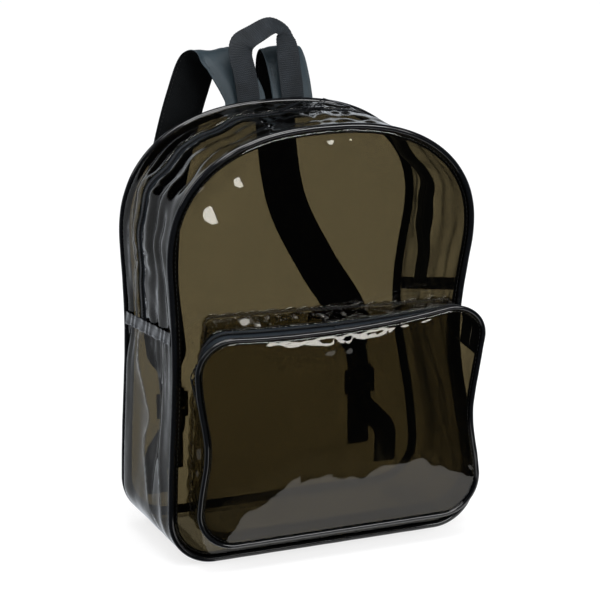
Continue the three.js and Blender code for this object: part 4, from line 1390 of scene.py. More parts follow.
@dataclass
class ArchZipper:
    """The zipper over the arch, with two sliders nose to nose."""

    wear: Wardrobe
    body: MainBody
    hardware: ZipperHardware
    tape: float = 13.0
    tape_wall: float = 1.0
    slit: float = 0.5
    coil_width: float = 5.6
    coil_height: float = 1.8
    pitch: float = 1.5
    slider_offset: float = 22.0
    hem: float = 2.0
    hem_row: StitchRow = StitchRow(3.0, 1.2)
    coil_row: StitchRow = StitchRow(1.6, 0.6)
    # For each slider: its side, which way it faces, and its pull's turn and lean in radians.
    sliders: tuple[tuple[Side, float, float, float], ...] = (
        (Side.LEFT, math.pi, math.pi + 0.35, 0.55),
        (Side.RIGHT, 0.0, 0.0, 0.75),
    )

    @property
    def tape_inset(self) -> float:
        """How far inside the seam's surface the tapes lie."""
        return SHAPE.layer + self.tape_wall / 2

    @property
    def coil_foot(self) -> float:
        """The inset of the coil's underside."""
        return self.tape_inset - self.tape_wall / 2 - SHAPE.clearance

    def build(self) -> None:
        """Builds and dresses the zipper."""
        front = SHAPE.zip_setback - self.slit / 2
        back = SHAPE.zip_setback + self.slit / 2
        for name, start, end, hem in (
            ("front", front - self.tape, front, 1),
            ("back", back, back + self.tape, -1),
        ):
            y = np.linspace(start, end, 10)
            points, _ = self.body.arch_points(y, self.tape_inset, 300)
            tape = lay_sheet("main_tape_" + name, points, wall=self.tape_wall)
            dress(tape, self.wear.tape, Slot.TAPE, "main_zip_tape_" + name)
            film_edge = self.body.film_front_edge if hem == 1 else self.body.film_back_edge
            sewn_at = film_edge - hem * self.hem
            face = -SHAPE.film / 2 - THREAD_LIFT
            line, outward = self.body.arch_points(np.array([sewn_at]), face, 900, gap=4)
            sew(f"main_tape_{name}_stitches", line[:, 0], outward[:, 0], self.hem_row, self.wear, Slot.TAPE)
            beside = SHAPE.zip_setback - hem * (self.coil_width / 2 + 1.0)
            face = self.tape_inset - self.tape_wall / 2
            line, outward = self.body.arch_points(np.array([beside]), face, 900, gap=7)
            sew(f"main_coil_{name}_stitches", line[:, 0], outward[:, 0], self.coil_row, self.wear, Slot.TAPE)
        self.build_coil()
        self.build_sliders()

    def build_coil(self) -> None:
        """The closed coil, turn by turn."""
        gap = self.body.binding / 2 + SHAPE.clearance
        line, outward = self.body.arch_points(
            np.array([SHAPE.zip_setback]), self.coil_foot - self.coil_height / 2, 1400, gap=gap
        )
        size = (self.coil_width, self.coil_height, self.pitch)
        coil = lay_teeth("main_coil", line[:, 0], outward[:, 0], *size)
        dress(coil, self.wear.coil, Slot.COIL, "main_zip_coil")

    def build_sliders(self) -> None:
        """The two sliders with their pulls."""
        foot_height = self.coil_height - self.coil_foot + SHAPE.clearance
        for side, heading, turn, lean in self.sliders:
            t = SEAM.top_at(self.slider_offset + side.value * (self.hardware.length / 2 + SHAPE.clearance))
            foot = in_depth(SEAM.at(t), SHAPE.zip_setback)
            outward = -in_depth(SEAM.inward(t), 0.0)
            name = side.name.lower()
            slider = self.hardware.slider("arch_slider_" + name)
            self.hardware.seat(slider, foot, outward, foot_height, heading + math.pi)
            dress(slider, self.wear.metal, Slot.METAL, "main_slider_" + name)
            pull = self.hardware.pull("arch_pull_" + name, lean)
            self.hardware.seat(pull, foot, outward, foot_height + self.hardware.wire_height, turn)
            dress(pull, self.wear.metal, Slot.METAL, "main_pull_" + name)


def lay_teeth(
    name: str, line: Points, up: Points, width: float, height: float, pitch: float
) -> bpy.types.Object:
    """Lays a coil's turns along a line, by turns a little to the front and to the back.

    Args:
        name: name of the piece.
        line: the coil's middle line, in mm.
        up: outward directions at its points.
        width: width of the coil.
        height: height of the coil.
        pitch: distance between turns.

    Returns:
        The piece.
    """
    whole = lengths(line)[-1]
    count = int(whole / pitch)
    place = (np.arange(count) + 0.5) * whole / count
    origin, tangent, across, normal = placed_along(line, up, place, 1.0)
    offset = np.where(np.arange(count) % 2, 0.5, -0.5)[:, None]
    tooth = coil_tooth(width - 1.0, height, pitch)
    return copies(name, tooth, origin + across * offset, np.stack([tangent, across, normal], 1))


@dataclass
class FrontPocket:
    """The zipped pocket on the front panel."""

    wear: Wardrobe
    body: MainBody
    hardware: ZipperHardware
    plane: float = -108.0
    radius: float = 2.2
    flange: float = 3.4
    seam_inset: float = 1.9
    bead_row: StitchRow = StitchRow(3.0, 1.2)
    tape_row: StitchRow = StitchRow(2.8, 1.2)
    edge_row: StitchRow = StitchRow(2.0, 0.6, thread=0.95, zigzag=1.5)
    hem: float = 2.0
    face_pull: float = 9.4
    face_pull_height: float = 130.0
    face_pull_spread: float = 45.0
    face_swell: float = 4.0
    face_swell_height: float = 222.0
    face_swell_spread: float = 26.0
    rear_lean: float = 11.5
    rear_lean_from: float = 165.0
    rear_lean_height: float = 75.0
    flange_wall: float = 0.9
    bulge: float = 6.0
    middle_height: float = 137.0
    roll: float = 5.4
    roll_from: float = 205.0
    roll_spread: float = 92.0
    zip_end: float = 190.0
    zip_line: float = 25.45
    tape: float = 9.0
    tape_wall: float = 1.0
    slit: float = 0.5
    film_edge: float = 20.2
    coil_width: float = 4.4
    coil_height: float = 1.8
    pitch: float = 1.4
    edge_wall: float = 1.0
    edge_width: float = 5.0
    pleat_height: float = 1.5
    slack: float = 1.8
    slack_length: float = 26.0
    ruffle: float = 0.9
    ruffle_lift: float = 0.8
    face_cut: tuple[float, float] = (297.0, 214.0)
    # Dents in the pocket's face: x, z, radius and depth in mm.
    dents: tuple[tuple[float, float, float, float], ...] = (
        (-96.0, 214.0, 16.0, 1.8),
        (-40.0, 150.0, 60.0, 1.6),
        (70.0, 190.0, 40.0, 1.4),
    )

    def __post_init__(self) -> None:
        """Draws the pocket's two seams."""
        low = {"bottom": 28.5, "low_corner": 40.0}
        self.face = pocket_seam(
            left=150.5, right=150.5, top=245.5, high_corner=40.0, waist=self.face_waist, sag=11.0, tilt=-4.4, **low
        )
        self.rear = pocket_seam(
            left=143.6, right=153.0, top=243.8, high_corner=6.0, waist=self.rear_waist, sag=0.0, tilt=4.6, **low
        )
        self.rear_plane = -SHAPE.half_depth - SHAPE.layer
        self.run = self.rear_plane - (self.plane + self.radius + SHAPE.clearance)
        gap = SHAPE.clearance / 2 / self.face.run[-1]
        self.left_end = float(self.face.at_height(Side.LEFT, self.zip_end)) + gap
        self.right_end = float(self.face.at_height(Side.RIGHT, self.zip_end)) - gap
        self.gap = gap

    def face_waist(self, x: Points, z: Points) -> Points:
        """How far a side of the pocket's face is drawn in; its upper right corner swells out."""
        pull = self.face_pull * bell((z - self.face_pull_height) / self.face_pull_spread)
        swell = bell((z - self.face_swell_height) / self.face_swell_spread)
        return pull - np.where(x > 0, self.face_swell, 0.0) * swell

    def rear_waist(self, x: Points, z: Points) -> Points:
        """How far a side of the pocket's rear seam is drawn in; its upper left corner leans in."""
        lean = smooth((z - self.rear_lean_from) / self.rear_lean_height)
        return SHAPE.waist(x, z) + np.where(x < 0, self.rear_lean, 0.0) * lean

    def points(self, t: Points, forward: Points, inset: Points | float) -> tuple[Points, Points]:
        """Points on the pocket's gusset.

        Args:
            t: shares of the seam.
            forward: distances in front of the front panel.
            inset: distances inside the gusset's surface.

        Returns:
            The points and their outward directions.
        """
        t, forward, inset = np.broadcast_arrays(t, forward, inset)
        share = (forward / self.run)[..., None]
        rear_in, face_in = self.rear.inward(t), self.face.inward(t)
        rear = self.rear.at(t) + rear_in * inset[..., None]
        face = self.face.at(t) + face_in * inset[..., None]
        out = unit(rear_in * (1 - share) + face_in * share)
        return in_depth(rear * (1 - share) + face * share, self.rear_plane - forward), -in_depth(out, 0.0)

    def build(self) -> None:
        """Builds and dresses the pocket."""
        self.build_face()
        self.build_gussets()
        self.build_zipper()
        self.build_seam_edge()

    def build_face(self) -> None:
        """The pocket's film and its piping."""
        t = self.face.spread(0, 1, 261)
        edge = self.face.at(t) + self.face.inward(t) * (self.radius + SHAPE.clearance)
        middle = np.array([0.0, self.middle_height])
        share = (1 - np.linspace(0, 1, 30) ** 1.15)[None]
        xz = middle + share[..., None] * (edge[:, None] - middle)
        x, z = xz[..., 0], xz[..., 1]
        inset = (1 - share) * np.linalg.norm(edge - middle, axis=1)[:, None]
        turn = math.tau * self.face.length_at(t)[:, None] / self.face.run[-1]
        pull = bell(inset / 9) * smooth(inset / 3)
        pucker = pull * np.sin(47 * turn + 2.0 * np.sin(6 * turn) + 1.5 * np.sin(13 * turn))
        bulge = self.bulge * (1 - share**2)
        slack = ripples(x, z, 90.0, 41) * (1 - share**2) * 1.4
        dents = sum(d * bell(np.hypot(x - cx, z - cz) / r) for cx, cz, r, d in self.dents)
        near_top = smooth((z - self.roll_from) / 15) * bell((x + 5) / self.roll_spread)
        scallops = 1 + 0.3 * pleats(x, pitch=4.7, drift=1.4, over=11)
        roll = self.roll * smooth(inset / 13) * np.exp(-inset / 30) * near_top * scallops
        y = self.plane - bulge + (0.6 * pucker + slack + dents - roll) * smooth(inset / 6)
        film = lay_sheet("pocket_film", in_depth(xz, y), merge=True, wall=SHAPE.film)
        dress(film, self.wear.film, Slot.FILM, "pocket_front")
        as_sheet(in_depth(xz, self.plane - bulge), self.face_cut)
        section = self.body.piping_section(self.radius, self.flange, self.flange_wall)
        bead = self.body.piping("pocket_bead", self.face, self.plane, 1, section, 340)
        dress(bead, self.wear.vinyl, Slot.TRIM, "pocket_piping")
        t = self.face.spread(0, 1, 700)
        xz = self.face.at(t) + self.face.inward(t) * (self.radius + self.seam_inset)
        line = in_depth(xz, self.plane - SHAPE.film / 2 - THREAD_LIFT)
        sew("pocket_bead_stitches", line, facing(line, -1.0), self.bead_row, self.wear, Slot.TRIM)

    def strip(
        self, name: str, span: tuple[float, float], edges: tuple[float, float], seed: int, rows: int
    ) -> None:
        """A film strip of the gusset, puckered along the seam on the front panel.

        Args:
            name: name of the piece.
            span: its shares of the seam.
            edges: its edges in front of the front panel.
            seed: which pattern of creases.
            rows: how many rows.
        """
        t = self.rear.spread(span[0], span[1], rows)[:, None]
        forward = np.linspace(edges[0], edges[1], 22)[None]
        flat, outward = self.points(t, forward, 0.0)
        share = (forward - edges[0]) / (edges[1] - edges[0])
        run = self.rear.length_at(t)
        pleat = pleats(run, pitch=2.9, drift=1.6, over=9.5, phase=1.8 * share)
        lift = (0.5 + 0.5 * pleat) * bell(share / 0.42) * smooth(share / 0.05) * self.pleat_height
        slack = np.sin(math.pi * share) * ripples(run, forward, self.slack_length, seed) * self.slack
        under = smooth((flat[..., 2] - 34) / 20)
        points = flat + outward * ((lift + slack) * under)[..., None]
        film = lay_sheet("pocket_film_" + name, points, wall=SHAPE.film)
        node = "pocket_zip_gusset" if name == "upper" else "pocket_gusset"
        dress(film, self.wear.film, Slot.FILM, node)
        as_sheet(flat)

    def build_gussets(self) -> None:
        """The gusset's film behind the zipper and below its ends."""
        self.strip("upper", (self.left_end, self.right_end), (0.0, self.film_edge), 17, 240)
        self.strip("lower", (self.right_end - 1, self.left_end - 2 * self.gap), (0.0, self.run), 19, 260)

    def build_zipper(self) -> None:
        """The pocket's zipper beside the piping."""
        inset = SHAPE.layer + self.tape_wall / 2
        t = self.face.spread(self.left_end, self.right_end, 260)[:, None]
        back = self.zip_line - self.slit / 2
        front = self.zip_line + self.slit / 2
        for name, start, end in (("back", back - self.tape, back), ("front", front, self.run)):
            points, _ = self.points(t, np.linspace(start, end, 8)[None], inset)
            tape = lay_sheet("pocket_tape_" + name, points, wall=self.tape_wall)
            dress(tape, self.wear.tape, Slot.TAPE, "pocket_zip_tape_" + name)
        dense = self.face.spread(self.left_end, self.right_end, 1200)
        foot = inset - self.tape_wall / 2 - SHAPE.clearance
        line, outward = self.points(dense, np.full(dense.shape, self.zip_line), foot - self.coil_height / 2)
        coil = lay_teeth("pocket_coil", line, outward, self.coil_width, self.coil_height, self.pitch)
        dress(coil, self.wear.coil, Slot.COIL, "pocket_zip_coil")
        for name, forward, depth in (
            ("hem", self.film_edge - self.hem, -SHAPE.film / 2 - THREAD_LIFT),
            ("front", self.run - 2.6, foot + 0.3),
        ):
            line, outward = self.points(dense, np.full(dense.shape, forward), depth)
            sew(f"pocket_{name}_stitches", line, outward, self.tape_row, self.wear, Slot.TAPE)
        at = self.left_end + self.hardware.length / 2 / self.face.run[-1]
        place, outward = self.points(np.array(at), np.array(self.zip_line), 0.0)
        height = self.coil_height - foot + SHAPE.clearance
        slider = self.hardware.slider("small_slider")
        self.hardware.seat(slider, place, outward, height, math.pi)
        dress(slider, self.wear.metal, Slot.METAL, "pocket_slider")
        pull = self.hardware.pull("small_pull", 0.5)
        self.hardware.seat(pull, place, outward, height + self.hardware.wire_height, math.pi)
        dress(pull, self.wear.metal, Slot.METAL, "pocket_pull")

    def build_seam_edge(self) -> None:
        """The gusset's turned edge on the front panel, with its zigzag of black thread."""
        t = self.rear.spread(0, 1, 701)
        run = self.rear.length_at(t)[:, None]
        share = np.linspace(0, 1, 9)[None]
        inner = SHAPE.layer + 2 * SHAPE.clearance
        ruffle = self.ruffle * pleats(run, pitch=2.6, drift=1.4, over=12) * share
        out = inner + (SHAPE.layer + self.edge_width - inner) * share + ruffle * smooth((share - 0.4) / 0.6)
        xz = self.rear.at(t)[:, None] - self.rear.inward(t)[:, None] * out[..., None]
        lift = 0.5 + 0.5 * pleats(run, pitch=2.6, drift=1.4, over=12, phase=1.2)
        lift = self.ruffle_lift * lift * share**2
        points = in_depth(xz, self.rear_plane - self.edge_wall / 2 - lift)
        edge = lay_sheet("pocket_edge", points, merge=True, wall=self.edge_wall)
        dress(edge, self.wear.film, Slot.FILM, "pocket_seam_edge")
        t = self.rear.spread(0, 1, 1400)
        line = in_depth(self.rear.at(t) - self.rear.inward(t) * 3.2, self.rear_plane - self.edge_wall - 0.25)
        sew("pocket_edge_stitches", line, facing(line, -1.0), self.edge_row, self.wear, Slot.TRIM)


def smooth_path(points: Points, shares: Points) -> Points:
    """A centripetal curve through points, with as much of the shares for each stretch.

    Args:
        points: the points it runs through.
        shares: places on the curve, from 0 to 1.

    Returns:
        The curve's points.
    """
    padded = np.concatenate([2 * points[:1] - points[1:2], points, 2 * points[-1:] - points[-2:-1]])
    place = shares * (len(points) - 1)
    k = np.minimum(place.astype(int), len(points) - 2)
    f = (place - k)[:, None]
    p0, p1, p2, p3 = (padded[k + i] for i in range(4))
    d0, d1, d2 = (
        np.sum(np.square(b - a), axis=1, keepdims=True) ** 0.25 for a, b in ((p0, p1), (p1, p2), (p2, p3))
    )
    m1 = ((p1 - p0) / d0 - (p2 - p0) / (d0 + d1) + (p2 - p1) / d1) * d1
    m2 = ((p2 - p1) / d1 - (p3 - p1) / (d1 + d2) + (p3 - p2) / d2) * d1
    return (
        p1 + m1 * f + (3 * (p2 - p1) - 2 * m1 - m2) * f**2 + (2 * (p1 - p2) + m1 + m2) * f**3
    )


@dataclass
class Ribbon:
    """A row list that a strap or a webbing runs through: centres, width directions and thickness."""

    centres: list[tuple[float, float, float]] = field(default_factory=list)
    across: list[tuple[float, float, float]] = field(default_factory=list)
    walls: list[float] = field(default_factory=list)

    def row(
        self, centre: Sequence[float], across: Sequence[float] = (1.0, 0.0, 0.0), wall: float = 1.6
    ) -> None:
        """Adds a row."""
        self.centres.append(tuple(centre))
        self.across.append(tuple(across))
        self.walls.append(wall)

    def even(self, step: float) -> tuple[Points, Points, Points]:
        """Fills the rows in at even steps along the ribbon.

        Args:
            step: distance between stations, in mm.

        Returns:
            Centres, width directions and thicknesses.
        """
        shares = np.linspace(0, 1, 1500)
        path = smooth_path(np.array(self.centres), shares)
        run = lengths(path)
        at = np.linspace(0, run[-1], max(8, int(run[-1] / step)))
        share = np.interp(at, run, shares)
        place = share * (len(self.centres) - 1)
        rows = np.arange(len(self.centres))
        across = np.stack([np.interp(place, rows, np.array(self.across)[:, k]) for k in range(3)], -1)
        return smooth_path(np.array(self.centres), share), unit(across), np.interp(place, rows, self.walls)


def sewn_tail(
    ribbon: Ribbon, side: int, spacing: float, width: float, tail_face: float, face: float, wall: float
) -> None:
    """The sewn end of a strap on the back panel, which steps out behind the piping."""
    outer = spacing / 2 + width / 2
    below = SHAPE.top - float(SEAM.at(SEAM.top_at(outer))[1]) + SHAPE.bead
    for back, down in ((tail_face, below + 14.0), (tail_face, below + 6.0), (face, below + SHAPE.clearance)):
        ribbon.row((side * spacing / 2, back, SHAPE.top - down), wall=wall)


def webbing_rings(centres: Points, across: Points, width: float, wall: float, rib: float) -> Points:
    """Rings of woven webbing, with cross ribs on its faces and a fine scallop at its edges.

    Args:
        centres: stations x 3.
        across: stations x 3.
        width: width of the webbing.
        wall: its thickness.
        rib: distance between ribs.

    Returns:
        The rings.
    """
    run = lengths(centres)
    section = round_section(1.0, 1.0, 20, 5.0)
    thick = wall - 0.28 + 0.28 * np.sin(math.tau * run / rib)
    wide = width - 0.3 + 0.3 * np.sin(math.tau * run / rib + 1.0)
    sections = np.stack([section[None, :, 0] * wide[:, None], section[None, :, 1] * thick[:, None]], -1)
    return ribbon_rings(centres, across, sections)


@dataclass
class HaulLoop:
    """The loop of webbing at the top of the back seam."""

    wear: Wardrobe
    width: float = 25.0
    wall: float = 1.6
    spacing: float = 48.0
    height: float = 74.0
    lean: float = 15.0
    skew: float = 9.0
    tilt: float = 32.0
    face: float = 74.0
    tail_face: float = 71.6
    # From the sewn tail to the middle of the grip: place to the side, lean, rise, skew, turn.
    rows: tuple[tuple[float, float, float, float, float], ...] = (
        (-1.0, 0.0, 0.05, 0.0, 0.0),
        (-1.02, 0.2, 0.4, -0.25, 0.0),
        (-1.07, 0.42, 0.64, -0.45, 0.04),
        (-0.99, 0.62, 0.79, -0.34, 0.26),
        (-0.62, 0.86, 0.91, 0.5, 0.68),
        (0.0, 1.0, 1.0, 1.0, 1.0),
    )

    def half(self, mirror: int) -> Ribbon:
        """Half of the loop, from its tail to the middle of the grip."""
        ribbon = Ribbon()
        sewn_tail(ribbon, mirror, self.spacing, self.width, self.tail_face, self.face, self.wall)
        tilt = math.radians(self.tilt)
        for side, lean, rise, skew, turn in self.rows:
            angle = turn * math.pi / 2
            reach = -mirror * math.sin(angle)
            ribbon.row(
                (
                    mirror * -side * self.spacing / 2 + skew * self.skew,
                    self.face + lean * self.lean,
                    SHAPE.top + rise * self.height,
                ),
                (math.cos(angle), -math.cos(tilt) * reach, -math.sin(tilt) * reach),
                self.wall,
            )
        return ribbon

    def build(self) -> None:
        """Builds and dresses the loop."""
        right, left = self.half(1), self.half(-1)
        for centre, across in list(zip(left.centres, left.across))[-2::-1]:
            right.row(centre, [-a for a in across], self.wall)
        centres, across, _ = right.even(0.34)
        rings = webbing_rings(centres, across, self.width, self.wall, 2.1)
        loop = sweep("webbing_loop", rings, closed=False)
        dress(loop, self.wear.webbing, Slot.WEBBING, "haul_loop")


@dataclass
class ShoulderStraps:
    """The padded straps, their adjusters' webbing and the ladder locks."""

    wear: Wardrobe
    spacing: float = 52.0
    width: float = 44.0
    pad: float = 5.4
    end_wall: float = 2.4
    face: float = 76.3
    tail_face: float = 73.9
    splay: float = 80.0
    rise: float = 46.0
    reach: float = 46.0
    drop: float = 300.0
    webbing: float = 25.0
    webbing_wall: float = 1.6
    webbing_tail_face: float = 71.6
    wrap: float = 3.1
    lock_depth: float = 85.6
    lock_middle: float = 113.6
    lock_size: tuple[float, float, float] = (34.0, 4.0, 27.0)
    lock_bar: float = 5.0
    lock_slot: float = 4.4
    free_tail: float = 62.0
    lock_lead: float = 13.0
    anchor_inset: float = 36.0
    anchor_height: float = 36.0
    anchor_lead: float = 22.4
    anchor_lap: float = 14.0
    edge_inset: float = 3.4
    edge_row: StitchRow = StitchRow(2.8, 1.2)
    # A point (y, z) that the straps curve round: the faces towards it are near-black mesh, whose darkness also
    # paints in the shade on that inner side.
    hollow: tuple[float, float] = (80.0, 300.0)
    # Out on the left strap, out on the right strap, back, rise, drop, padding.
    rows: tuple[tuple[float, float, float, float, float, float], ...] = (
        (0.0, 0.0, 0.08, 0.1, 0.0, 0.1),
        (0.08, 0.0, 0.24, 0.46, 0.0, 0.7),
        (0.2, 0.0, 0.52, 0.86, 0.0, 0.9),
        (0.3, 0.0, 0.79, 1.0, 0.0, 0.9),
        (0.4, 0.0, 1.0, 0.82, 0.0, 0.9),
        (0.57, 0.0, 1.06, 0.05, 0.0, 1.0),
        (0.78, 0.01, 1.02, 0.0, 0.18, 1.0),
        (0.96, 0.14, 0.94, 0.0, 0.4, 1.0),
        (1.05, 0.52, 0.76, 0.0, 0.62, 1.0),
        (1.03, 0.9, 0.54, 0.0, 0.8, 1.0),
        (1.0, 1.0, 0.38, 0.0, 0.93, 1.0),
    )

    def build(self) -> None:
        """Builds and dresses both straps with their adjusters."""
        for side in Side:
            self.build_strap(side)
            self.build_adjuster(side)
            self.build_lock(side)

    def turn_round(
        self, ribbon: Ribbon, x: float, bar_edge: float, up: int, start: float, end: float
    ) -> None:
        """Rows of webbing that turns round a bar of the lock.

        Args:
            ribbon: the ribbon to add to.
            x: the lock's middle.
            bar_edge: the height of the bar's edge.
            up: where the webbing comes from: 1 above, -1 below.
            start: how far off its outer end lies.
            end: how far off its inner end lies.
        """
        ribbon.row((x, self.lock_depth + self.wrap, bar_edge + up * start), wall=self.webbing_wall)
        for step in range(5):
            angle = math.pi * step / 4
            y = self.lock_depth + self.wrap * math.cos(angle)
            ribbon.row((x, y, bar_edge - up * self.wrap * math.sin(angle)), wall=self.webbing_wall)
        ribbon.row((x, self.lock_depth - self.wrap, bar_edge + up * end), wall=self.webbing_wall)

    def pad_section(self, width: float, wall: float, count: int = 48) -> Points:
        """The strap's section: a foam pad between two flat sewn edges, as (across, up) points."""
        half = count // 2
        across = -np.cos(np.linspace(0, math.pi, half + 1))
        edge = 1 - np.abs(across)
        flat = np.minimum(1.7, wall) / 2 * smooth(edge / 0.02)
        height = flat + (wall / 2 - np.minimum(1.7, wall) / 2) * smooth((edge - 0.13) / 0.4) ** 0.7
        top = np.stack([across * width / 2, height], -1)
        bottom = np.stack([across[::-1] * width / 2, -height[::-1]], -1)
        return np.concatenate([bottom[:-1], top[:-1]])

    def build_strap(self, side: Side) -> None:
        """A strap, from its sewn end over its fold and down behind the bag to the lock."""
        name = side.name.lower()
        ribbon = Ribbon()
        sewn_tail(ribbon, side.value, self.spacing, self.width, self.tail_face, self.face, self.end_wall)
        for left, right, back, rise, drop, pad in self.rows:
            out = left if side is Side.LEFT else right
            ribbon.row(
                (
                    side.value * (self.spacing / 2 + out * self.splay),
                    self.face + back * self.reach,
                    SHAPE.top + rise * self.rise - drop * self.drop,
                ),
                wall=self.end_wall + (self.pad - self.end_wall) * pad,
            )
        centres, across, walls = ribbon.even(1.5)
        _, side_dir, up = frames_along(centres, across)
        run = lengths(centres)
        end = smooth((run[-1] - run) / 22)
        sections = []
        for s, wall, share in zip(run, walls, end):
            section = self.pad_section(self.webbing + (self.width - self.webbing) * float(share) ** 0.6, wall)
            u = section[:, 0] / (self.width / 2)
            fold = 0.5 * ripples(np.full(u.shape, s), u * 20, 34.0, 3 + side.value) * (1 - u**2)
            section[:, 1] += np.sign(section[:, 1]) * fold * min(1.0, wall / self.pad)
            sections.append(section)
        rings = ribbon_rings(centres, across, np.array(sections))
        strap = sweep("padded_strap_" + name, rings, closed=False)
        dress(strap, (self.wear.cloth, self.wear.mesh), Slot.STRAP, "shoulder_strap_" + name)
        # Faces towards the point take the near-black mesh, which also paints in the shade on the strap's inner
        # side.
        for face in strap.data.polygons:
            inwards = Vector((0.0, self.hollow[0] * MM - face.center.y, self.hollow[1] * MM - face.center.z))
            face.material_index = int(face.normal.dot(inwards) > 0)
        for edge in (-1, 1):
            for face in (-1, 1):
                keep = run < run[-1] - 26
                line = centres + side_dir * edge * (self.width / 2 - self.edge_inset) + up * face * 0.95
                sewn = f"padded_strap_{name}_stitches_{edge}_{face}"
                sew(sewn, line[keep], up[keep] * face, self.edge_row, self.wear, Slot.STRAP)
        turn = Ribbon()
        end_x = side.value * (self.spacing / 2 + self.splay)
        edge = self.lock_middle + self.lock_size[2] / 2 - self.lock_bar
        turn.row(centres[-6] + np.array([0, 1.2, 0]), wall=self.webbing_wall)
        self.turn_round(turn, end_x, edge, 1, self.lock_bar + SHAPE.clearance, self.lock_bar + self.pad)
        self.lay_webbing("strap_end_" + name, turn)

    def lay_webbing(self, name: str, ribbon: Ribbon, *nodes: str) -> None:
        """Lays a length of webbing through its rows."""
        centres, across, _ = ribbon.even(0.4)
        rings = webbing_rings(centres, across, self.webbing, self.webbing_wall, 1.9)
        dress(sweep(name, rings, closed=False), self.wear.webbing, Slot.WEBBING, *nodes)

    def build_adjuster(self, side: Side) -> None:
        """The adjuster's webbing, from the lower back seam up round the lock, with its free tail."""
        ribbon = Ribbon()
        end_x = side.value * (self.spacing / 2 + self.splay)
        edge = self.lock_middle - self.lock_size[2] / 2 + self.lock_bar
        self.turn_round(ribbon, end_x, edge, -1, self.free_tail, self.lock_lead)
        anchor_x = side.value * (SHAPE.half_width - self.anchor_inset)
        for up, off in (
            (self.anchor_height + self.anchor_lead, self.webbing_wall),
            (self.anchor_height, 0.0),
            (self.anchor_height - self.anchor_lap, 0.0),
        ):
            ribbon.row((anchor_x, self.webbing_tail_face + off, SHAPE.bead + up))
        self.lay_webbing("adjuster_" + side.name.lower(), ribbon, "strap_webbing_" + side.name.lower())

    def build_lock(self, side: Side) -> None:
        """A ladder lock: a moulded frame with two slots, its edges rounded."""
        _, thickness, height = self.lock_size
        lock = box(self.lock_size)
        lock.name = lock.data.name = "moulded_lock_" + side.name.lower()
        lock.data.transform(Matrix.Scale(MM, 4))
        inner = height / 2 - self.lock_bar
        for sign in (-1, 1):
            cutter = box((self.webbing + 4 * SHAPE.clearance, thickness * 3, self.lock_slot))
            cutter.data.transform(Matrix.Translation((0, 0, sign * (inner - self.lock_slot / 2))))
            cutter.data.transform(Matrix.Scale(MM, 4))
            modify(lock, "BOOLEAN", object=cutter, operation="DIFFERENCE", solver="EXACT")
            bpy.data.objects.remove(cutter)
        modify(lock, "BEVEL", width=0.9 * MM, segments=3, limit_method="ANGLE", angle_limit=math.radians(40))
        place = (side.value * (self.spacing / 2 + self.splay), self.lock_depth, self.lock_middle)
        lock.data.transform(Matrix.Translation(Vector(place) * MM))
        select_only(lock)
        bpy.ops.object.shade_smooth_by_angle(angle=math.radians(35))
        dress(lock, self.wear.acetal, Slot.LOCK, "ladder_lock_" + side.name.lower())


@dataclass(frozen=True)
class Backdrop:
    """Matt white acrylic, lit from behind: it shows no texture, only a trace of shadow."""

    name: str = "backlit_white_acrylic"
    colour: str = "#8f8f90"
    glow: float = 0.72

    def make(self) -> bpy.types.Material:
        """Builds the material."""
        tree = Tree(bpy.data.materials.new(self.name))
        paper = {
            "Base Color": linear(self.colour),
            "Roughness": 0.9,
            "Specular IOR Level": 0.1,
            "Emission Color": (1.0, 1.0, 1.0, 1.0),
            "Emission Strength": self.glow,
            "Normal": tree.bump(tree.noise(3.0, 2.0), 0.1, 0.05),
        }
        return tree.show(tree.add("BsdfPrincipled", paper))


@dataclass(frozen=True)
class SoftBox:
    """A rectangular light: its place, size and aim in mm, and its power in watts."""

    name: str
    place: tuple[float, float, float]
    size: tuple[float, float]
    power: float
    aim: tuple[float, float, float] = (0.0, 0.0, 300.0)


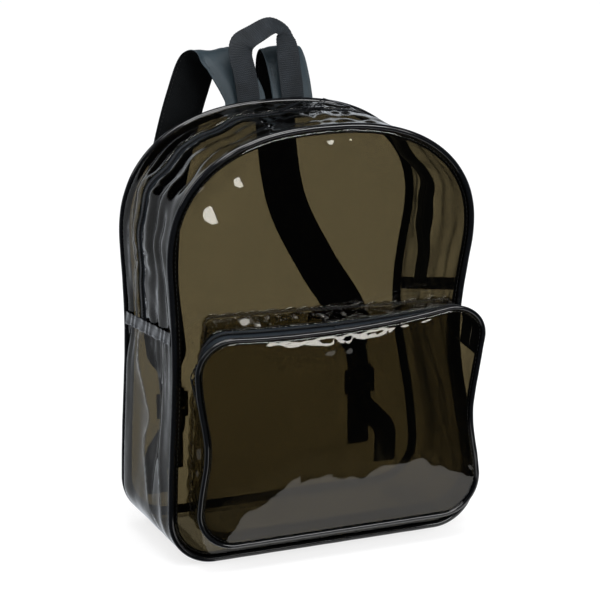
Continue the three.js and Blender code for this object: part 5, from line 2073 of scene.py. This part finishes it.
@dataclass
class Studio:
    """The pale floor, the soft lights and the camera."""

    azimuth: float = -22.87
    elevation: float = 15.68
    distance: float = 2435.65
    lens: float = 145.29
    target: tuple[float, float, float] = (1.10, 0.0, 236.67)
    ambient: float = 1.06
    plate: tuple[float, float, float] = (120.0, -60.0, 240.0)
    horizon: float = 9000.0
    boxes: tuple[SoftBox, ...] = (
        SoftBox("overhead", (-100.0, -350.0, 1500.0), (900.0, 760.0), 15.0),
        SoftBox("left", (-1150.0, 60.0, 1250.0), (300.0, 700.0), 3.6),
        SoftBox("front", (470.0, -1250.0, 900.0), (860.0, 430.0), 13.0, aim=(0.0, 0.0, 250.0)),
    )
    # What the gloss sees of the room, by direction: axis, start, end, brightness before and after.
    ramps: tuple[tuple[int, float, float, float, float], ...] = (
        (0, -0.5, 0.15, 0.5, 1.0),
        (1, -0.1, 0.25, 0.02, 1.0),
        (2, 0.24, 0.36, 1.0, 0.02),
    )

    def build(self) -> None:
        """Sets up the studio."""
        self.build_floor()
        self.build_world()
        self.build_lights()
        self.build_camera()
        scene = bpy.context.scene
        scene.view_settings.view_transform = "Standard"
        scene.cycles.transparent_max_bounces = 40

    def build_floor(self) -> None:
        """Paper under the bag, and more of it beyond that its gloss doesn't mirror."""
        paper = Backdrop().make()
        x, y, near = self.plate
        bpy.ops.object.select_all(action="DESELECT")
        bpy.ops.mesh.primitive_circle_add(
            vertices=96, radius=near * MM, fill_type="NGON", location=(x * MM, y * MM, 0.0)
        )
        bpy.ops.object.transform_apply(location=True, rotation=False, scale=False)
        plate = bpy.context.object
        plate.name = plate.data.name = "floor_near"
        angle = np.linspace(0, math.tau, 97)
        circle = np.stack([np.cos(angle), np.sin(angle), np.zeros(97)], -1)
        centre = np.array([x, y, 0.0])
        bands = np.stack([centre + circle * near, circle * self.horizon], 1)
        ring = lay_sheet("floor_far", bands, merge=True)
        for obj in (plate, ring):
            obj.data.materials.append(paper)
        ring.visible_glossy = False

    def build_world(self) -> None:
        """White where the camera sees it; darker in front of the bag than behind it for all else."""
        world = bpy.context.scene.world or bpy.data.worlds.new("Room")
        bpy.context.scene.world = world
        tree = Tree(world)
        path = tree.add("LightPath")
        place = tree.add("TexCoord")
        split = tree.add("SeparateXYZ", {0: place.outputs["Generated"]})
        parts = []
        for axis, start, end, first, last in self.ramps:
            limits = {"From Min": start, "From Max": end, "To Min": first, "To Max": last}
            values = {"Value": split.outputs[axis], **limits}
            parts.append(tree.add("MapRange", values, interpolation_type="SMOOTHSTEP"))
        wall = tree.add("Math", {0: parts[0].outputs[0], 1: parts[1].outputs[0]}, operation="MULTIPLY")
        mirrored = tree.add("Math", {0: wall.outputs[0], 1: parts[2].outputs[0]}, operation="MULTIPLY")
        less = tree.add("Math", {0: mirrored.outputs[0], 1: self.ambient}, operation="SUBTRACT")
        glossy = path.outputs["Is Glossy Ray"]
        light = tree.add("Math", {0: glossy, 1: less.outputs[0], 2: self.ambient}, operation="MULTIPLY_ADD")
        colour = tree.blend(glossy, "#ffffff", "#f1f7ff")
        glow = tree.add("Background", {"Color": colour, "Strength": light.outputs[0]})
        tree.add("OutputWorld", {"Surface": glow.outputs[0]})

    def build_lights(self) -> None:
        """Large soft boxes overhead and in front at the right, and a tall one at the left."""
        for soft in self.boxes:
            data = bpy.data.lights.new(soft.name, "AREA")
            data.shape = "RECTANGLE"
            data.size, data.size_y = soft.size[0] * MM, soft.size[1] * MM
            data.energy = soft.power
            lamp = bpy.data.objects.new(soft.name, data)
            lamp.location = Vector(soft.place) * MM
            towards = Vector(soft.aim) - Vector(soft.place)
            lamp.rotation_euler = towards.to_track_quat("-Z", "Y").to_euler()
            bpy.context.scene.collection.objects.link(lamp)

    def build_camera(self) -> None:
        """The camera, at the photograph's angle."""
        turn, up = math.radians(self.azimuth), math.radians(self.elevation)
        away = Vector((math.sin(turn) * math.cos(up), -math.cos(turn) * math.cos(up), math.sin(up)))
        data = bpy.data.cameras.new("camera")
        data.lens, data.sensor_width = self.lens, 36.0
        camera = bpy.data.objects.new("camera", data)
        camera.location = (Vector(self.target) + away * self.distance) * MM
        camera.rotation_euler = (-away).to_track_quat("-Z", "Y").to_euler()
        bpy.context.scene.collection.objects.link(camera)
        bpy.context.scene.camera = camera


def main() -> None:
    """Builds the bag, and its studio."""
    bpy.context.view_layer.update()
    wear = Wardrobe()
    hardware = ZipperHardware(wear)
    body = MainBody(wear)
    for name, assembly in (
        ("main body", body),
        ("arch zipper", ArchZipper(wear, body, hardware)),
        ("front pocket", FrontPocket(wear, body, hardware)),
        ("haul loop", HaulLoop(wear)),
        ("shoulder straps", ShoulderStraps(wear)),
        ("studio", Studio()),
    ):
        log.info("building the %s", name)
        assembly.build()


if __name__ == "__main__":
    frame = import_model()
    main()
